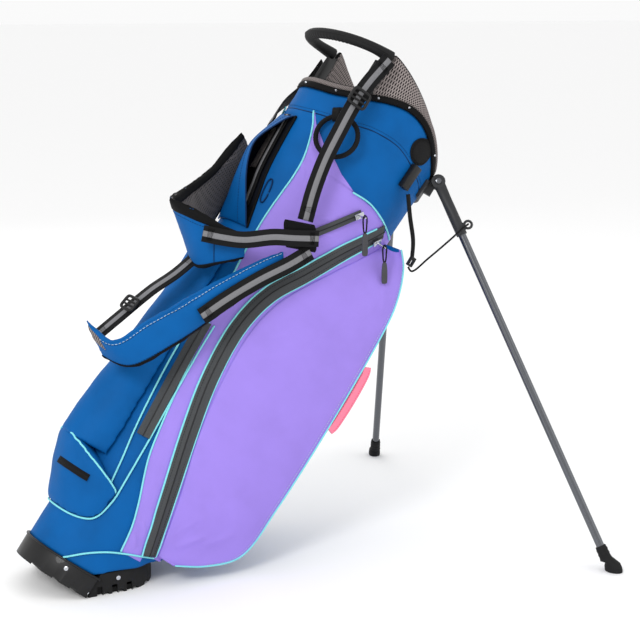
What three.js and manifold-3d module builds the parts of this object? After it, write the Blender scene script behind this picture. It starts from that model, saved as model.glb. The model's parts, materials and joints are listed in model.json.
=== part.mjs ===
// Golf stand bag, leaning on its two opened legs. Millimetres, +Z up.
// The origin is the middle of the front foot's sole; +X points from the foot to the legs.
// Most parts are placed in the bag frame: x across the tube towards the legs' side (the belly),
// y to the bag's left, z along the tube, measured from the line about which the foot hinges.
import * as THREE from 'three';
import { mergeVertices } from 'three/addons/utils/BufferGeometryUtils.js';
import Module from 'manifold-3d';

const wasm = await Module();
wasm.setup();

// ---------------------------------------------------------------- driving dimensions
const GAP = 0.4;                                    // clearance between neighbouring pieces
const LEAN = THREE.MathUtils.degToRad(35.5);        // how far the open bag leans
const TUBE_LOW = { z: 30, centre: 18, across: 109, deep: 92 };
const TUBE_HIGH = { z: 860, centre: 40, across: 134, deep: 108 };
const FABRIC = 4;                                   // padded fabric wall
const RIM_MIDDLE = 853;                             // cuff rim: mean height, tilt and arch
const RIM_TILT = 6;
const RIM_ARCH = 48;
const EAR_PEAK = 958;                               // top of the padded collar beside the handle
const EAR_DROP = 104;
const EAR_EDGE_X = -20;                             // where the collar's high part begins
const FOOT_PIVOT_HEIGHT = 7;
const FOOT = { front: 129, halfWidth: 88, height: 34 };
const SOLE_CENTRE = 66;
const SHELL_HEIGHT = 33;
const LEG_PIVOT = { x: 164, y: 70, z: 847 };
const LEG_REACH = { x: 767.5 - SOLE_CENTRE, y: 370 };
const LEG_RADIUS = 6.5;
const HANDLE_RADIUS = 8;
const STRAP_WIDTH = 25;
const STRAP_THICK = 2.4;
const AROUND = 40;                                  // facets around the tube

const RIGHT = -1;
const LEFT = 1;
const SIDES = [[RIGHT, 'right'], [LEFT, 'left']];
const { lerp, smoothstep, clamp, degToRad } = THREE.MathUtils;
const vec = (x, y, z) => new THREE.Vector3(x, y, z);

// ---------------------------------------------------------------- materials
const material = (color, roughness, metalness = 0) =>
  new THREE.MeshStandardMaterial({ color, roughness, metalness });
const blueFabric = () => material(0x0b5fb5, 0.75);
const purpleFabric = () => material(0xa08af0, 0.7);
const greyMesh = () => material(0x77716f, 0.9);
const blackWebbing = () => material(0x1b1b1d, 0.85);
const zipTape = () => material(0x4a4d50, 0.8);
const blackPlastic = () => material(0x151517, 0.55);
const blackRubber = () => material(0x1d1d1f, 0.8);
const greyPlastic = () => material(0x3c3d40, 0.5);
const gunmetal = () => material(0x47484b, 0.3, 0.9);
const steel = () => material(0xb9bcc0, 0.3, 1);
const pinkWebbing = () => material(0xf58ba0, 0.8);

// ---------------------------------------------------------------- mesh helpers
function closedGeometry(points, triangles) {
  const geometry = new THREE.BufferGeometry();
  const numbers = points.flatMap((p) => [p.x, p.y, p.z]);
  geometry.setAttribute('position', new THREE.Float32BufferAttribute(numbers, 3));
  let volume = 0;
  for (const [a, b, c] of triangles) {
    volume += points[a].dot(points[b].clone().cross(points[c]));
  }
  const outward = volume < 0 ? triangles.map(([a, b, c]) => [a, c, b]) : triangles;
  geometry.setIndex(outward.flat());
  return geometry;
}

// A sheet with thickness: pointAt(u, v, side) gives its inner (side 0) and outer (side 1) faces.
function slab(pointAt, nu, nv) {
  const points = [];
  const index = (i, j, side) => side * (nu + 1) * (nv + 1) + i * (nv + 1) + j;
  for (const side of [0, 1]) {
    for (let i = 0; i <= nu; i += 1) {
      for (let j = 0; j <= nv; j += 1) {
        points.push(pointAt(i / nu, j / nv, side));
      }
    }
  }
  const triangles = [];
  const quad = (a, b, c, d) => triangles.push([a, b, c], [a, c, d]);
  for (let i = 0; i < nu; i += 1) {
    for (let j = 0; j < nv; j += 1) {
      quad(index(i, j, 1), index(i + 1, j, 1), index(i + 1, j + 1, 1), index(i, j + 1, 1));
      quad(index(i, j, 0), index(i, j + 1, 0), index(i + 1, j + 1, 0), index(i + 1, j, 0));
    }
  }
  for (let i = 0; i < nu; i += 1) {
    quad(index(i, 0, 0), index(i + 1, 0, 0), index(i + 1, 0, 1), index(i, 0, 1));
    quad(index(i, nv, 0), index(i, nv, 1), index(i + 1, nv, 1), index(i + 1, nv, 0));
  }
  for (let j = 0; j < nv; j += 1) {
    quad(index(0, j, 0), index(0, j, 1), index(0, j + 1, 1), index(0, j + 1, 0));
    quad(index(nu, j, 0), index(nu, j + 1, 0), index(nu, j + 1, 1), index(nu, j, 1));
  }
  return closedGeometry(points, triangles);
}

// A closed ring: sectionAt(turn) gives the corners of its cross-section at each turn from 0 to 1.
function hoop(sectionAt, count) {
  const rings = Array.from({ length: count }, (_, i) => sectionAt(i / count));
  const corners = rings[0].length;
  const triangles = [];
  for (let i = 0; i < count; i += 1) {
    for (let k = 0; k < corners; k += 1) {
      const next = (k + 1) % corners;
      const a = i * corners + k;
      const b = i * corners + next;
      const c = ((i + 1) % count) * corners + next;
      const d = ((i + 1) % count) * corners + k;
      triangles.push([a, b, c], [a, c, d]);
    }
  }
  return closedGeometry(rings.flat(), triangles);
}

// A solid through a list of rings with the same number of points, closed by a flat cap at each end.
function loft(rings) {
  const corners = rings[0].length;
  const points = rings.flat();
  const triangles = [];
  for (let i = 0; i + 1 < rings.length; i += 1) {
    for (let k = 0; k < corners; k += 1) {
      const next = (k + 1) % corners;
      const a = i * corners + k;
      const b = i * corners + next;
      triangles.push([a, b, b + corners], [a, b + corners, a + corners]);
    }
  }
  const last = (rings.length - 1) * corners;
  for (let k = 1; k + 1 < corners; k += 1) {
    triangles.push([0, k + 1, k], [last, last + k, last + k + 1]);
  }
  return closedGeometry(points, triangles);
}

// A strip swept along points, each with the direction that its face looks in.
function ribbon(route, width, thickness) {
  const rings = route.map(({ at, facing }, i) => {
    const before = route[Math.max(i - 1, 0)].at;
    const after = route[Math.min(i + 1, route.length - 1)].at;
    const along = after.clone().sub(before).normalize();
    const out = facing.clone().addScaledVector(along, -facing.dot(along)).normalize();
    const across = along.clone().cross(out);
    return [[-1, -1], [1, -1], [1, 1], [-1, 1]].map(([w, t]) => at.clone()
      .addScaledVector(across, w * width / 2).addScaledVector(out, t * thickness / 2));
  });
  return loft(rings);
}

function smoothRoute(stations, count) {
  const at = new THREE.CatmullRomCurve3(stations.map((s) => s.at));
  const facing = new THREE.CatmullRomCurve3(stations.map((s) => s.facing));
  return Array.from({ length: count + 1 }, (_, i) => ({
    at: at.getPoint(i / count),
    facing: facing.getPoint(i / count),
  }));
}

function rope(points, radius, sides, steps) {
  const outline = new THREE.Shape();
  for (let i = 0; i < sides; i += 1) {
    const angle = (2 * Math.PI * i) / sides;
    const [x, y] = [radius * Math.cos(angle), radius * Math.sin(angle)];
    if (i === 0) outline.moveTo(x, y);
    else outline.lineTo(x, y);
  }
  const path = new THREE.CatmullRomCurve3(points);
  return new THREE.ExtrudeGeometry(outline, { steps, bevelEnabled: false, extrudePath: path });
}

function rod(from, to, radius, sides = 12) {
  const along = to.clone().sub(from);
  const geometry = new THREE.CylinderGeometry(radius, radius, along.length(), sides);
  const turn = new THREE.Quaternion().setFromUnitVectors(vec(0, 1, 0), along.clone().normalize());
  const middle = from.clone().add(to).multiplyScalar(0.5);
  return geometry.applyMatrix4(new THREE.Matrix4().compose(middle, turn, vec(1, 1, 1)));
}

const box = (x0, x1, y0, y1, z0, z1) =>
  new THREE.BoxGeometry(x1 - x0, y1 - y0, z1 - z0).translate((x0 + x1) / 2, (y0 + y1) / 2, (z0 + z1) / 2);

function solid(source) {
  const plain = source.clone();
  plain.deleteAttribute('normal');
  plain.deleteAttribute('uv');
  const merged = mergeVertices(plain, 1e-3);
  return new wasm.Manifold(new wasm.Mesh({
    numProp: 3,
    vertProperties: new Float32Array(merged.attributes.position.array),
    triVerts: new Uint32Array(merged.index.array),
  }));
}

function geometryOf(manifold) {
  const mesh = manifold.getMesh();
  const geometry = new THREE.BufferGeometry();
  geometry.setAttribute('position', new THREE.Float32BufferAttribute(mesh.vertProperties, 3));
  geometry.setIndex(Array.from(mesh.triVerts));
  return geometry;
}

const join = (first, ...others) => geometryOf(others.reduce((sum, p) => sum.add(solid(p)), solid(first)));
const cut = (piece, ...tools) => geometryOf(tools.reduce((sum, p) => sum.subtract(solid(p)), solid(piece)));
const common = (a, b) => geometryOf(solid(a).intersect(solid(b)));

// ---------------------------------------------------------------- scene groups
const standBag = new THREE.Group();
const bag = new THREE.Group();
bag.position.x = -SOLE_CENTRE;
bag.rotation.y = LEAN;
const foot = new THREE.Group();
foot.position.x = -SOLE_CENTRE;
standBag.add(bag, foot);
bag.updateMatrix();
const floorFromBag = bag.matrix.clone();
const bagFromFloor = bag.matrix.clone().invert();

function add(group, name, geometry, look) {
  const mesh = new THREE.Mesh(geometry, look);
  mesh.name = name;
  group.add(mesh);
}

// A box stated in floor coordinates, given in the bag frame.
const floorBox = (...sides) => box(...sides).applyMatrix4(bagFromFloor);

// ---------------------------------------------------------------- the tube's surface
function sectionAt(z) {
  const t = (z - TUBE_LOW.z) / (TUBE_HIGH.z - TUBE_LOW.z);
  return {
    centre: lerp(TUBE_LOW.centre, TUBE_HIGH.centre, t),
    across: lerp(TUBE_LOW.across, TUBE_HIGH.across, t),
    deep: lerp(TUBE_LOW.deep, TUBE_HIGH.deep, t),
  };
}

// Angle 0 is the belly, -90 degrees the right side, 180 degrees the spine.
function onTube(z, angle, lift = 0) {
  const { centre, across, deep } = sectionAt(z);
  return vec(centre + (across + lift) * Math.cos(angle), (deep + lift) * Math.sin(angle), z);
}

const angleAt = (z, x, side) => {
  const { centre, across } = sectionAt(z);
  return side * Math.acos(clamp((x - centre) / across, -1, 1));
};

const outwardAt = (angle) => vec(Math.cos(angle), Math.sin(angle), 0);
const rimAt = (angle) => RIM_MIDDLE - RIM_TILT * Math.cos(angle) + RIM_ARCH * Math.sin(angle) ** 4;
const FLOOR_CLEARANCE = FOOT.height + 1.4;
const wedgeAt = (x) => (FLOOR_CLEARANCE + x * Math.sin(LEAN)) / Math.cos(LEAN);
const hemAt = (angle) => {
  const z = SHELL_HEIGHT + GAP;
  const x = onTube(z, angle).x;
  return Math.max(z, wedgeAt(x) * (1 + 0.03 * (x > 0)));
};

const tubeSolid = (lift, z0, z1) => loft([z0, z1].map((z) =>
  Array.from({ length: AROUND }, (_, i) => onTube(z, (2 * Math.PI * i) / AROUND, lift))));

// ---------------------------------------------------------------- body, base and foot
function bodyShell() {
  const levels = 5;
  return hoop((turn) => {
    const angle = turn * 2 * Math.PI;
    const low = hemAt(angle);
    const high = rimAt(angle) - 6;
    const corners = [];
    for (let j = 0; j <= levels; j += 1) corners.push(onTube(lerp(low, high, j / levels), angle));
    for (let j = levels; j >= 0; j -= 1) corners.push(onTube(lerp(low, high, j / levels), angle, -FABRIC));
    return corners;
  }, AROUND);
}

const HINGE = vec(0, 0, FOOT_PIVOT_HEIGHT).applyMatrix4(new THREE.Matrix4().makeRotationY(-LEAN));
const KNUCKLE_RADIUS = 6.4;
const KNUCKLE_BORE = 3.4;
const PIN_RADIUS = 3;
const SHELL_KNUCKLES = [[-84, -58], [-13, 13], [58, 84]];
const FOOT_KNUCKLES = [[-57, -14], [14, 57]];
const barrel = (centre, [y0, y1], radius) =>
  rod(vec(centre.x, y0, centre.z), vec(centre.x, y1, centre.z), radius, 12);

function baseShell() {
  const floorLevel = HINGE.z - FOOT_PIVOT_HEIGHT;
  const wall = 5;
  const endX = HINGE.x - 1.2;
  const outer = tubeSolid(3, floorLevel, SHELL_HEIGHT);
  const hollow = tubeSolid(3 - wall, floorLevel + 7, SHELL_HEIGHT + 10);
  const keep = box(-200, endX, -120, 120, -20, 60);
  const keepHollow = box(-200, endX - wall, -120, 120, -20, 60);
  const treads = [-86, -60, -34].map((x) => box(x, x + 10, -120, 120, floorLevel - 5, floorLevel + 3.5));
  const shell = cut(common(outer, keep), common(hollow, keepHollow), ...treads,
    ...FOOT_KNUCKLES.map((span) => barrel(HINGE, span, KNUCKLE_RADIUS + 0.8)));
  const knuckles = SHELL_KNUCKLES.map((span) => barrel(HINGE, span, KNUCKLE_RADIUS));
  const bore = barrel(HINGE, [-100, 100], KNUCKLE_BORE);
  return cut(join(shell, ...knuckles), bore);
}

function baseFoot() {
  const outline = new THREE.Shape();
  outline.moveTo(0, -FOOT.halfWidth);
  outline.lineTo(60, -FOOT.halfWidth);
  outline.absellipse(60, 0, FOOT.front - 60, FOOT.halfWidth, -Math.PI / 2, Math.PI / 2, false);
  outline.lineTo(0, FOOT.halfWidth);
  outline.closePath();
  const extruded = { depth: FOOT.height, bevelEnabled: false, curveSegments: 12 };
  const block = new THREE.ExtrudeGeometry(outline, extruded);
  const inner = new THREE.Shape();
  inner.moveTo(32, -FOOT.halfWidth + 5);
  inner.lineTo(62, -FOOT.halfWidth + 5);
  inner.absellipse(62, 0, FOOT.front - 67, FOOT.halfWidth - 5, -Math.PI / 2, Math.PI / 2, false);
  inner.lineTo(32, FOOT.halfWidth - 5);
  inner.closePath();
  const hollow = new THREE.ExtrudeGeometry(inner, extruded).translate(0, 0, 8);
  const behind = box(-200, HINGE.x + 1.2, -120, 120, -60, 90)
    .applyMatrix4(new THREE.Matrix4().makeRotationY(LEAN));
  const treads = [24, 48, 72, 96].map((x) => box(x, x + 9, -120, 120, -5, 3.5));
  const sideCuts = [RIGHT, LEFT].flatMap((side) => [14, 38, 62, 86].map((x) => {
    const [outside, inside] = [side * FOOT.halfWidth, side * (FOOT.halfWidth - 6)];
    return box(x, x + 9, Math.min(outside, inside), Math.max(outside, inside), -5, 14);
  }));
  const pivot = vec(0, 0, FOOT_PIVOT_HEIGHT);
  const relief = SHELL_KNUCKLES.map(([y0, y1]) => barrel(pivot, [y0 - 0.5, y1 + 0.5], KNUCKLE_RADIUS + 0.8));
  const body = cut(block, hollow, behind, ...treads, ...sideCuts, ...relief);
  const knuckles = FOOT_KNUCKLES.map((span) => barrel(pivot, [span[0] + 0.5, span[1] - 0.5], KNUCKLE_RADIUS));
  return cut(join(body, ...knuckles), barrel(pivot, [-100, 100], KNUCKLE_BORE));
}

// Sewn floor of the tube's open wedge, level above the foot.
const GUSSET_LEVEL = FLOOR_CLEARANCE + 6;
const GUSSET_THICK = 3;
const bottomGusset = () => common(
  tubeSolid(-FABRIC - GAP, 25, 190),
  floorBox(20, 320, -120, 120, GUSSET_LEVEL, GUSSET_LEVEL + GUSSET_THICK));

add(bag, 'body_shell', bodyShell(), blueFabric());
add(bag, 'base_shell', baseShell(), blackPlastic());
add(foot, 'base_foot', baseFoot(), blackRubber());
add(bag, 'foot_hinge_pin', barrel(HINGE, [-86, 86], PIN_RADIUS), steel());
add(bag, 'bottom_gusset', bottomGusset(), blueFabric());

// ---------------------------------------------------------------- cuff, collar and handle
function collarTop(angle) {
  const x = onTube(rimAt(angle), angle).x;
  const ear = EAR_PEAK - EAR_DROP * clamp((x + 10) / 180, 0, 1) ** 2.2;
  const low = rimAt(angle) + 14;
  return x < EAR_EDGE_X ? low : Math.max(ear, low);
}

function cuffCollar() {
  return hoop((turn) => {
    const angle = turn * 2 * Math.PI;
    const low = rimAt(angle) + 5;
    const high = collarTop(angle);
    const middle = lerp(low, high, 0.6);
    return [
      onTube(low, angle, 1), onTube(middle, angle, 4), onTube(high - 3, angle, 2), onTube(high, angle, -2),
      onTube(high - 3, angle, -8), onTube(low, angle, -9),
    ];
  }, 72);
}

const BINDING_LIFT = 4;
const cuffBinding = () => hoop((turn) => {
  const angle = turn * 2 * Math.PI;
  const rim = rimAt(angle);
  return [onTube(rim - 5, angle, BINDING_LIFT), onTube(rim + 4.5, angle, BINDING_LIFT),
    onTube(rim + 4.5, angle, -9), onTube(rim - 5, angle, -9)];
}, AROUND);

const DIVIDER_Z = 815;
const DIVIDER_DEEP = 18;

function clubDivider() {
  const section = sectionAt(DIVIDER_Z + DIVIDER_DEEP / 2);
  const outerAcross = section.across - FABRIC - 1.5;
  const outerDeep = section.deep - FABRIC - 1.5;
  const outline = new THREE.Shape();
  outline.absellipse(section.centre, 0, outerAcross, outerDeep, 0, 2 * Math.PI, false);
  const flat = { depth: DIVIDER_DEEP, bevelEnabled: false, curveSegments: 20 };
  const plate = new THREE.ExtrudeGeometry(outline, flat).translate(0, 0, DIVIDER_Z);
  const inside = new THREE.Shape();
  inside.absellipse(section.centre, 0, outerAcross - 10, outerDeep - 10, 0, 2 * Math.PI, false);
  const window = new THREE.ExtrudeGeometry(inside, { depth: 60, bevelEnabled: false, curveSegments: 20 })
    .translate(0, 0, DIVIDER_Z - 20);
  const halfBar = 5;
  const holes = [[-300, -halfBar], [halfBar, 300]].flatMap(([x0, x1]) =>
    [[-200, -halfBar], [halfBar, 200]].map(([y0, y1]) =>
      common(window, box(section.centre + x0, section.centre + x1, y0, y1, DIVIDER_Z - 30, DIVIDER_Z + 50))));
  return cut(plate, ...holes);
}

const HANDLE_Z = 950;
const HANDLE_FOOT = { x: -40, y: 94 };
const HANDLE_REACH = 98;
const HANDLE_DROOP = 13;

function carryHandle() {
  const route = [];
  const turns = 12;
  for (let i = 0; i <= turns; i += 1) {
    const angle = (Math.PI * i) / turns;
    route.push(vec(HANDLE_FOOT.x - HANDLE_REACH * Math.sin(angle) ** 0.8, -HANDLE_FOOT.y * Math.cos(angle),
      HANDLE_Z - HANDLE_DROOP * Math.sin(angle)));
  }
  return rope(route, HANDLE_RADIUS, 8, 26);
}

// The black moulded post at each end of the handle, standing on the rim.
function handlePost(side) {
  const x0 = -52;
  const x1 = EAR_EDGE_X - 11;
  return slab((u, v, out) => {
    const x = lerp(x0, x1, u);
    const foot0 = rimAt(angleAt(880, x, side)) + 15;
    const z = lerp(foot0, lerp(HANDLE_Z - HANDLE_RADIUS - 5.5, EAR_PEAK - 4, u ** 3), v);
    return onTube(z, angleAt(880, x, side), out ? 4 : -8);
  }, 4, 3);
}

add(bag, 'cuff_collar', cuffCollar(), greyMesh());
add(bag, 'cuff_binding', cuffBinding(), blackWebbing());
add(bag, 'club_divider', clubDivider(), blackPlastic());
add(bag, 'carry_handle', carryHandle(), blackRubber());
for (const [side, word] of SIDES) {
  add(bag, `handle_post_${word}`, handlePost(side), blackPlastic());
}

// ---------------------------------------------------------------- stiffeners inside the tube
const STAY_ANGLE = degToRad(150);
const ROD_LOW = 198;                                // leaves the rod's travel free above the gusset
const ROD_HIGH = 790;
for (const [side, word] of SIDES) {
  const stay = (z) => onTube(z, side * STAY_ANGLE, -FABRIC - 5);
  add(bag, `frame_stay_${word}`, rod(stay(SHELL_HEIGHT + 12), stay(DIVIDER_Z - 3), 3.5, 10), greyPlastic());
}
const rodAt = (z) => onTube(z, 0, -FABRIC - 5);
add(bag, 'actuator_rod', rod(rodAt(ROD_LOW), rodAt(ROD_HIGH), 2.5, 10), steel());

// ---------------------------------------------------------------- legs
const ARM_LENGTH = 96;
const ARM_SOCKET = 60;
const ARM_THICK = 10;
const BOLT_RADIUS = 3;
const KNUCKLE_DISC = 11.5;
const EAR_THICK = 9;

function legFrame(side) {
  const pivot = vec(LEG_PIVOT.x, side * LEG_PIVOT.y, LEG_PIVOT.z);
  const ground = vec(LEG_REACH.x, side * LEG_REACH.y, 0).applyMatrix4(bagFromFloor);
  const up = pivot.clone().sub(ground);
  const length = up.length();
  up.normalize();
  const hinge = up.clone().cross(vec(0, 0, 1)).normalize();
  const outward = hinge.y * side > 0 ? hinge : hinge.negate();
  const matrix = new THREE.Matrix4().makeBasis(outward, up.clone().cross(outward), up).setPosition(pivot);
  const floorFromLeg = floorFromBag.clone().multiply(matrix);
  return { pivot, ground, outward, up, length, matrix, legFromFloor: floorFromLeg.invert() };
}

// Cross-sections of the arm along its length: distance from the pivot, half width, half thickness.
const ARM_STATIONS = [[0, 9.5, 4.8], [33, 8.5, 4.8], [54, 8.6, 8.4], [ARM_LENGTH, 8.6, 8.6]];
const octagon = (halfX, halfY, z) => Array.from({ length: 12 }, (_, i) => {
  const angle = (2 * Math.PI * (i + 0.5)) / 12;
  return vec(halfX * Math.cos(angle) * 1.03, halfY * Math.sin(angle) * 1.03, z);
});

function legArm(side) {
  const disc = rod(vec(-ARM_THICK / 2, 0, 0), vec(ARM_THICK / 2, 0, 0), KNUCKLE_DISC, 16);
  const beam = loft(ARM_STATIONS.map(([r, wide, thick]) => octagon(thick, wide, -r)));
  const socket = rod(vec(0, 0, -ARM_SOCKET), vec(0, 0, -ARM_LENGTH - 5), LEG_RADIUS + 0.35, 16);
  const hole = rod(vec(-20, 0, 0), vec(20, 0, 0), BOLT_RADIUS + 0.3, 12);
  const front = -side;
  const eyelet = new THREE.TorusGeometry(6.2, 2.2, 6, 12).rotateY(Math.PI / 2)
    .translate(0, front * 16, -ARM_LENGTH + 12);
  const stem = box(-2.2, 2.2, Math.min(front * 7.4, front * 11), Math.max(front * 7.4, front * 11),
    -ARM_LENGTH + 6, -ARM_LENGTH + 18);
  return cut(join(disc, beam, stem, eyelet), socket, hole);
}

function legFoot(frame, side) {
  const sleeve = (r, radius) => octagon(radius, radius, -frame.length + r);
  const onFloor = (height, halfLong, halfWide, forward) => {
    const away = vec(LEG_REACH.x - 560, side * LEG_REACH.y, 0).normalize();
    const across = vec(-away.y, away.x, 0);
    return octagon(0, 0, 0).map((_, i) => {
      const angle = (2 * Math.PI * (i + 0.5)) / 12;
      return vec(LEG_REACH.x, side * LEG_REACH.y, height)
        .addScaledVector(away, forward + halfLong * Math.cos(angle))
        .addScaledVector(across, halfWide * Math.sin(angle))
        .applyMatrix4(frame.legFromFloor);
    });
  };
  const body = loft([onFloor(0, 15, 11, 4), onFloor(7, 15, 11, 3), sleeve(24, 9), sleeve(42, 8.4)]);
  const bore = rod(vec(0, 0, -frame.length + 22), vec(0, 0, -frame.length + 60), LEG_RADIUS + 0.35, 16);
  return cut(body, bore);
}

function legBolt() {
  const head = rod(vec(ARM_THICK / 2 + GAP, 0, 0), vec(ARM_THICK / 2 + 3.4, 0, 0), 5, 12);
  const shank = rod(vec(-18, 0, 0), vec(ARM_THICK / 2 + 1, 0, 0), BOLT_RADIUS, 12);
  return join(head, shank);
}

// Saddle on the belly below the rim, with one ear on the inboard side of each arm.
function legBracket() {
  const saddle = slab((u, v, out) =>
    onTube(lerp(806, 838, v), degToRad(lerp(-40, 40, u)), out ? 6 : GAP + 0.4), 14, 1);
  const ears = SIDES.map(([side]) => {
    const { outward, pivot } = legFrames[side];
    const upright = vec(0, 0, 1);
    const base = new THREE.Matrix4().makeBasis(outward, upright.clone().cross(outward), upright)
      .setPosition(pivot);
    const face = -ARM_THICK / 2 - GAP - 0.2;
    const knuckle = rod(vec(face - EAR_THICK, 0, 0), vec(face, 0, 0), KNUCKLE_DISC, 16);
    const web = box(face - EAR_THICK, face, Math.min(0, side * 26), Math.max(0, side * 26), -26, 6);
    return join(knuckle, web).applyMatrix4(base);
  });
  const holes = SIDES.map(([side]) => rod(vec(-30, 0, 0), vec(30, 0, 0), BOLT_RADIUS + 0.3, 12)
    .applyMatrix4(legFrames[side].matrix));
  const clearOfTube = tubeSolid(GAP + 0.4, 770, 850);
  const clearOfBinding = tubeSolid(BINDING_LIFT + GAP + 0.2, 839.5, 862);
  return cut(join(saddle, ...ears), clearOfTube, clearOfBinding, ...holes);
}

const legFrames = { [RIGHT]: legFrame(RIGHT), [LEFT]: legFrame(LEFT) };
for (const [side, word] of SIDES) {
  const frame = legFrames[side];
  const group = new THREE.Group();
  group.applyMatrix4(frame.matrix);
  bag.add(group);
  add(group, `leg_arm_${word}`, legArm(side), greyPlastic());
  add(group, `leg_bolt_${word}`, legBolt(), steel());
  add(group, `leg_tube_${word}`,
    rod(vec(0, 0, -ARM_SOCKET - 1), vec(0, 0, -frame.length + 22.5), LEG_RADIUS, 14), gunmetal());
  add(group, `leg_foot_${word}`, legFoot(frame, side), blackRubber());
}
add(bag, 'leg_bracket', legBracket(), greyPlastic());

// ---------------------------------------------------------------- pockets and zips
// Value of a smooth curve through [z, value] stations.
function along(stations, z) {
  const points = stations.map(([at, value]) => vec(at, value, 0));
  const curve = new THREE.CatmullRomCurve3(points, false, 'centripetal');
  let [low, high] = [0, 1];
  for (let i = 0; i < 24; i += 1) {
    const middle = (low + high) / 2;
    if (curve.getPoint(middle).x < z) low = middle;
    else high = middle;
  }
  return curve.getPoint(low).y;
}

const POCKET = {
  bottom: 104,
  top: 712,
  zipEdge: [[100, 66], [190, 42], [290, 13], [382, -1], [470, -3], [535, 12], [616, 62], [703, 132],
    [716, 142]],
  bellyEdge: [[100, 74], [130, 138], [168, 180], [262, 192], [489, 197], [634, 189], [690, 170],
    [716, 146]],
  edgeY: 112,
  bulge: 15,
};
const GUSSET_ANGLE = degToRad(54);
const GUSSET_START = 0.68;

// Big side pocket: flat-fronted, with its free edge standing past the belly and a gusset behind it.
function apparelPocket(side) {
  return slab((u, v, out) => {
    const z = lerp(POCKET.bottom, POCKET.top, u);
    const zipAngle = Math.abs(angleAt(z, along(POCKET.zipEdge, z), side));
    const edgeX = along(POCKET.bellyEdge, z);
    const swell = POCKET.bulge * smoothstep(z, POCKET.bottom, 230) * (1 - smoothstep(z, 520, 690));
    const edgeY = POCKET.edgeY - 8 * smoothstep(z, 610, POCKET.top);
    if (out) {
      const start = onTube(z, side * zipAngle, 4);
      const y = lerp(Math.abs(start.y), edgeY, v) + swell * Math.sin(Math.PI * v) ** 0.8;
      return vec(lerp(start.x, edgeX, v), side * y, z);
    }
    const turn = Math.min(v / GUSSET_START, 1);
    const gussetAngle = Math.min(GUSSET_ANGLE, zipAngle - 0.02);
    const onWall = onTube(z, side * lerp(zipAngle, gussetAngle, turn), GAP + 1.2);
    if (v <= GUSSET_START) return onWall;
    const free = (v - GUSSET_START) / (1 - GUSSET_START);
    const rim = vec(edgeX - 2, side * (edgeY - 6), z);
    return onWall.lerp(rim, free);
  }, 15, 9);
}

// Pocket wrapped around the spine: low and high give its edges at each angle from the spine.
function spineSlab(halfAngle, low, high, liftAt, nu, nv) {
  return slab((u, v, out) => {
    const offset = lerp(-halfAngle, halfAngle, u);
    const share = Math.abs(offset) / halfAngle;
    const z = lerp(low(share), high(share), v);
    const lift = liftAt(z, share, v);
    return onTube(z, Math.PI + offset, out ? lift : GAP + 0.4);
  }, nu, nv);
}

const BALL_HALF = degToRad(55);
const ballLow = (share) => 92 + 26 * share ** 4;
const ballHigh = (share) => 203 - 46 * share ** 1.5;
const ballLift = (z, share) => {
  const up = clamp((z - ballLow(share)) / (ballHigh(share) - ballLow(share)), 0, 1);
  return 4 + 46 * up ** 0.75 * Math.cos(share * Math.PI / 2) ** 0.8;
};
const ballPocket = () => spineSlab(BALL_HALF, ballLow, ballHigh, ballLift, 14, 5);
const ballPocketTab = () => slab((u, v, out) => {
  const offset = degToRad(lerp(4, 34, u));
  const z = lerp(150, 160, v);
  return onTube(z, Math.PI + offset, ballLift(z, offset / BALL_HALF) + (out ? 4.5 : 2));
}, 5, 1);
const spinePocket = () => spineSlab(degToRad(31), () => 208, () => 590,
  (z, s) => 4 + lerp(44, 14, smoothstep(z, 180, 520)) * Math.cos(s * Math.PI / 2) ** 0.7, 12, 8);

// Flap of the upper spine pocket, standing open on the right side.
function pocketFlap() {
  const [near, far] = [degToRad(-150), degToRad(-206)];
  return slab((u, v, out) => {
    const z = lerp(606, 800, v);
    const stand = 36 * Math.sin(Math.PI * clamp(v, 0, 1)) ** 1.1 * (1 - u) ** 0.9;
    return onTube(z, lerp(near, far, u), GAP + 0.6 + stand + (out ? 3 : 0));
  }, 6, 10);
}

for (const [side, word] of SIDES) {
  add(bag, `apparel_pocket_${word}`, apparelPocket(side), side === RIGHT ? purpleFabric() : blueFabric());
}
add(bag, 'ball_pocket', ballPocket(), blueFabric());
add(bag, 'spine_pocket', spinePocket(), blueFabric());
add(bag, 'pocket_flap', pocketFlap(), blueFabric());

// Route on the right side of the tube through [x, z] points, lying at the given lift.
const sideRoute = (points, lift, count) => smoothRoute(points.map(([x, z]) => {
  const angle = angleAt(z, x, RIGHT);
  return { at: onTube(z, angle, lift), facing: outwardAt(angle) };
}), count);

const ZIP_MAIN = [[49, 98], [22, 193], [-4, 296], [-19, 380], [-22, 470], [-8, 535], [24, 592], [62, 655],
  [104, 708]];
const ZIP_UPPER = [[1, 652], [26, 687], [50, 720]];
const ZIP_SPINE = [[-54, 250], [-58, 330], [-61, 410]];
const ZIP_LIFT = 3;
const ZIP_THICK = 2;
add(bag, 'zip_tape_main', ribbon(sideRoute(ZIP_MAIN, ZIP_LIFT, 26), 26, ZIP_THICK), zipTape());
add(bag, 'zip_tape_upper', ribbon(sideRoute(ZIP_UPPER, ZIP_LIFT, 6), 13, ZIP_THICK), zipTape());
add(bag, 'zip_tape_spine', ribbon(sideRoute(ZIP_SPINE, ZIP_LIFT, 6), 20, ZIP_THICK), zipTape());

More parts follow.
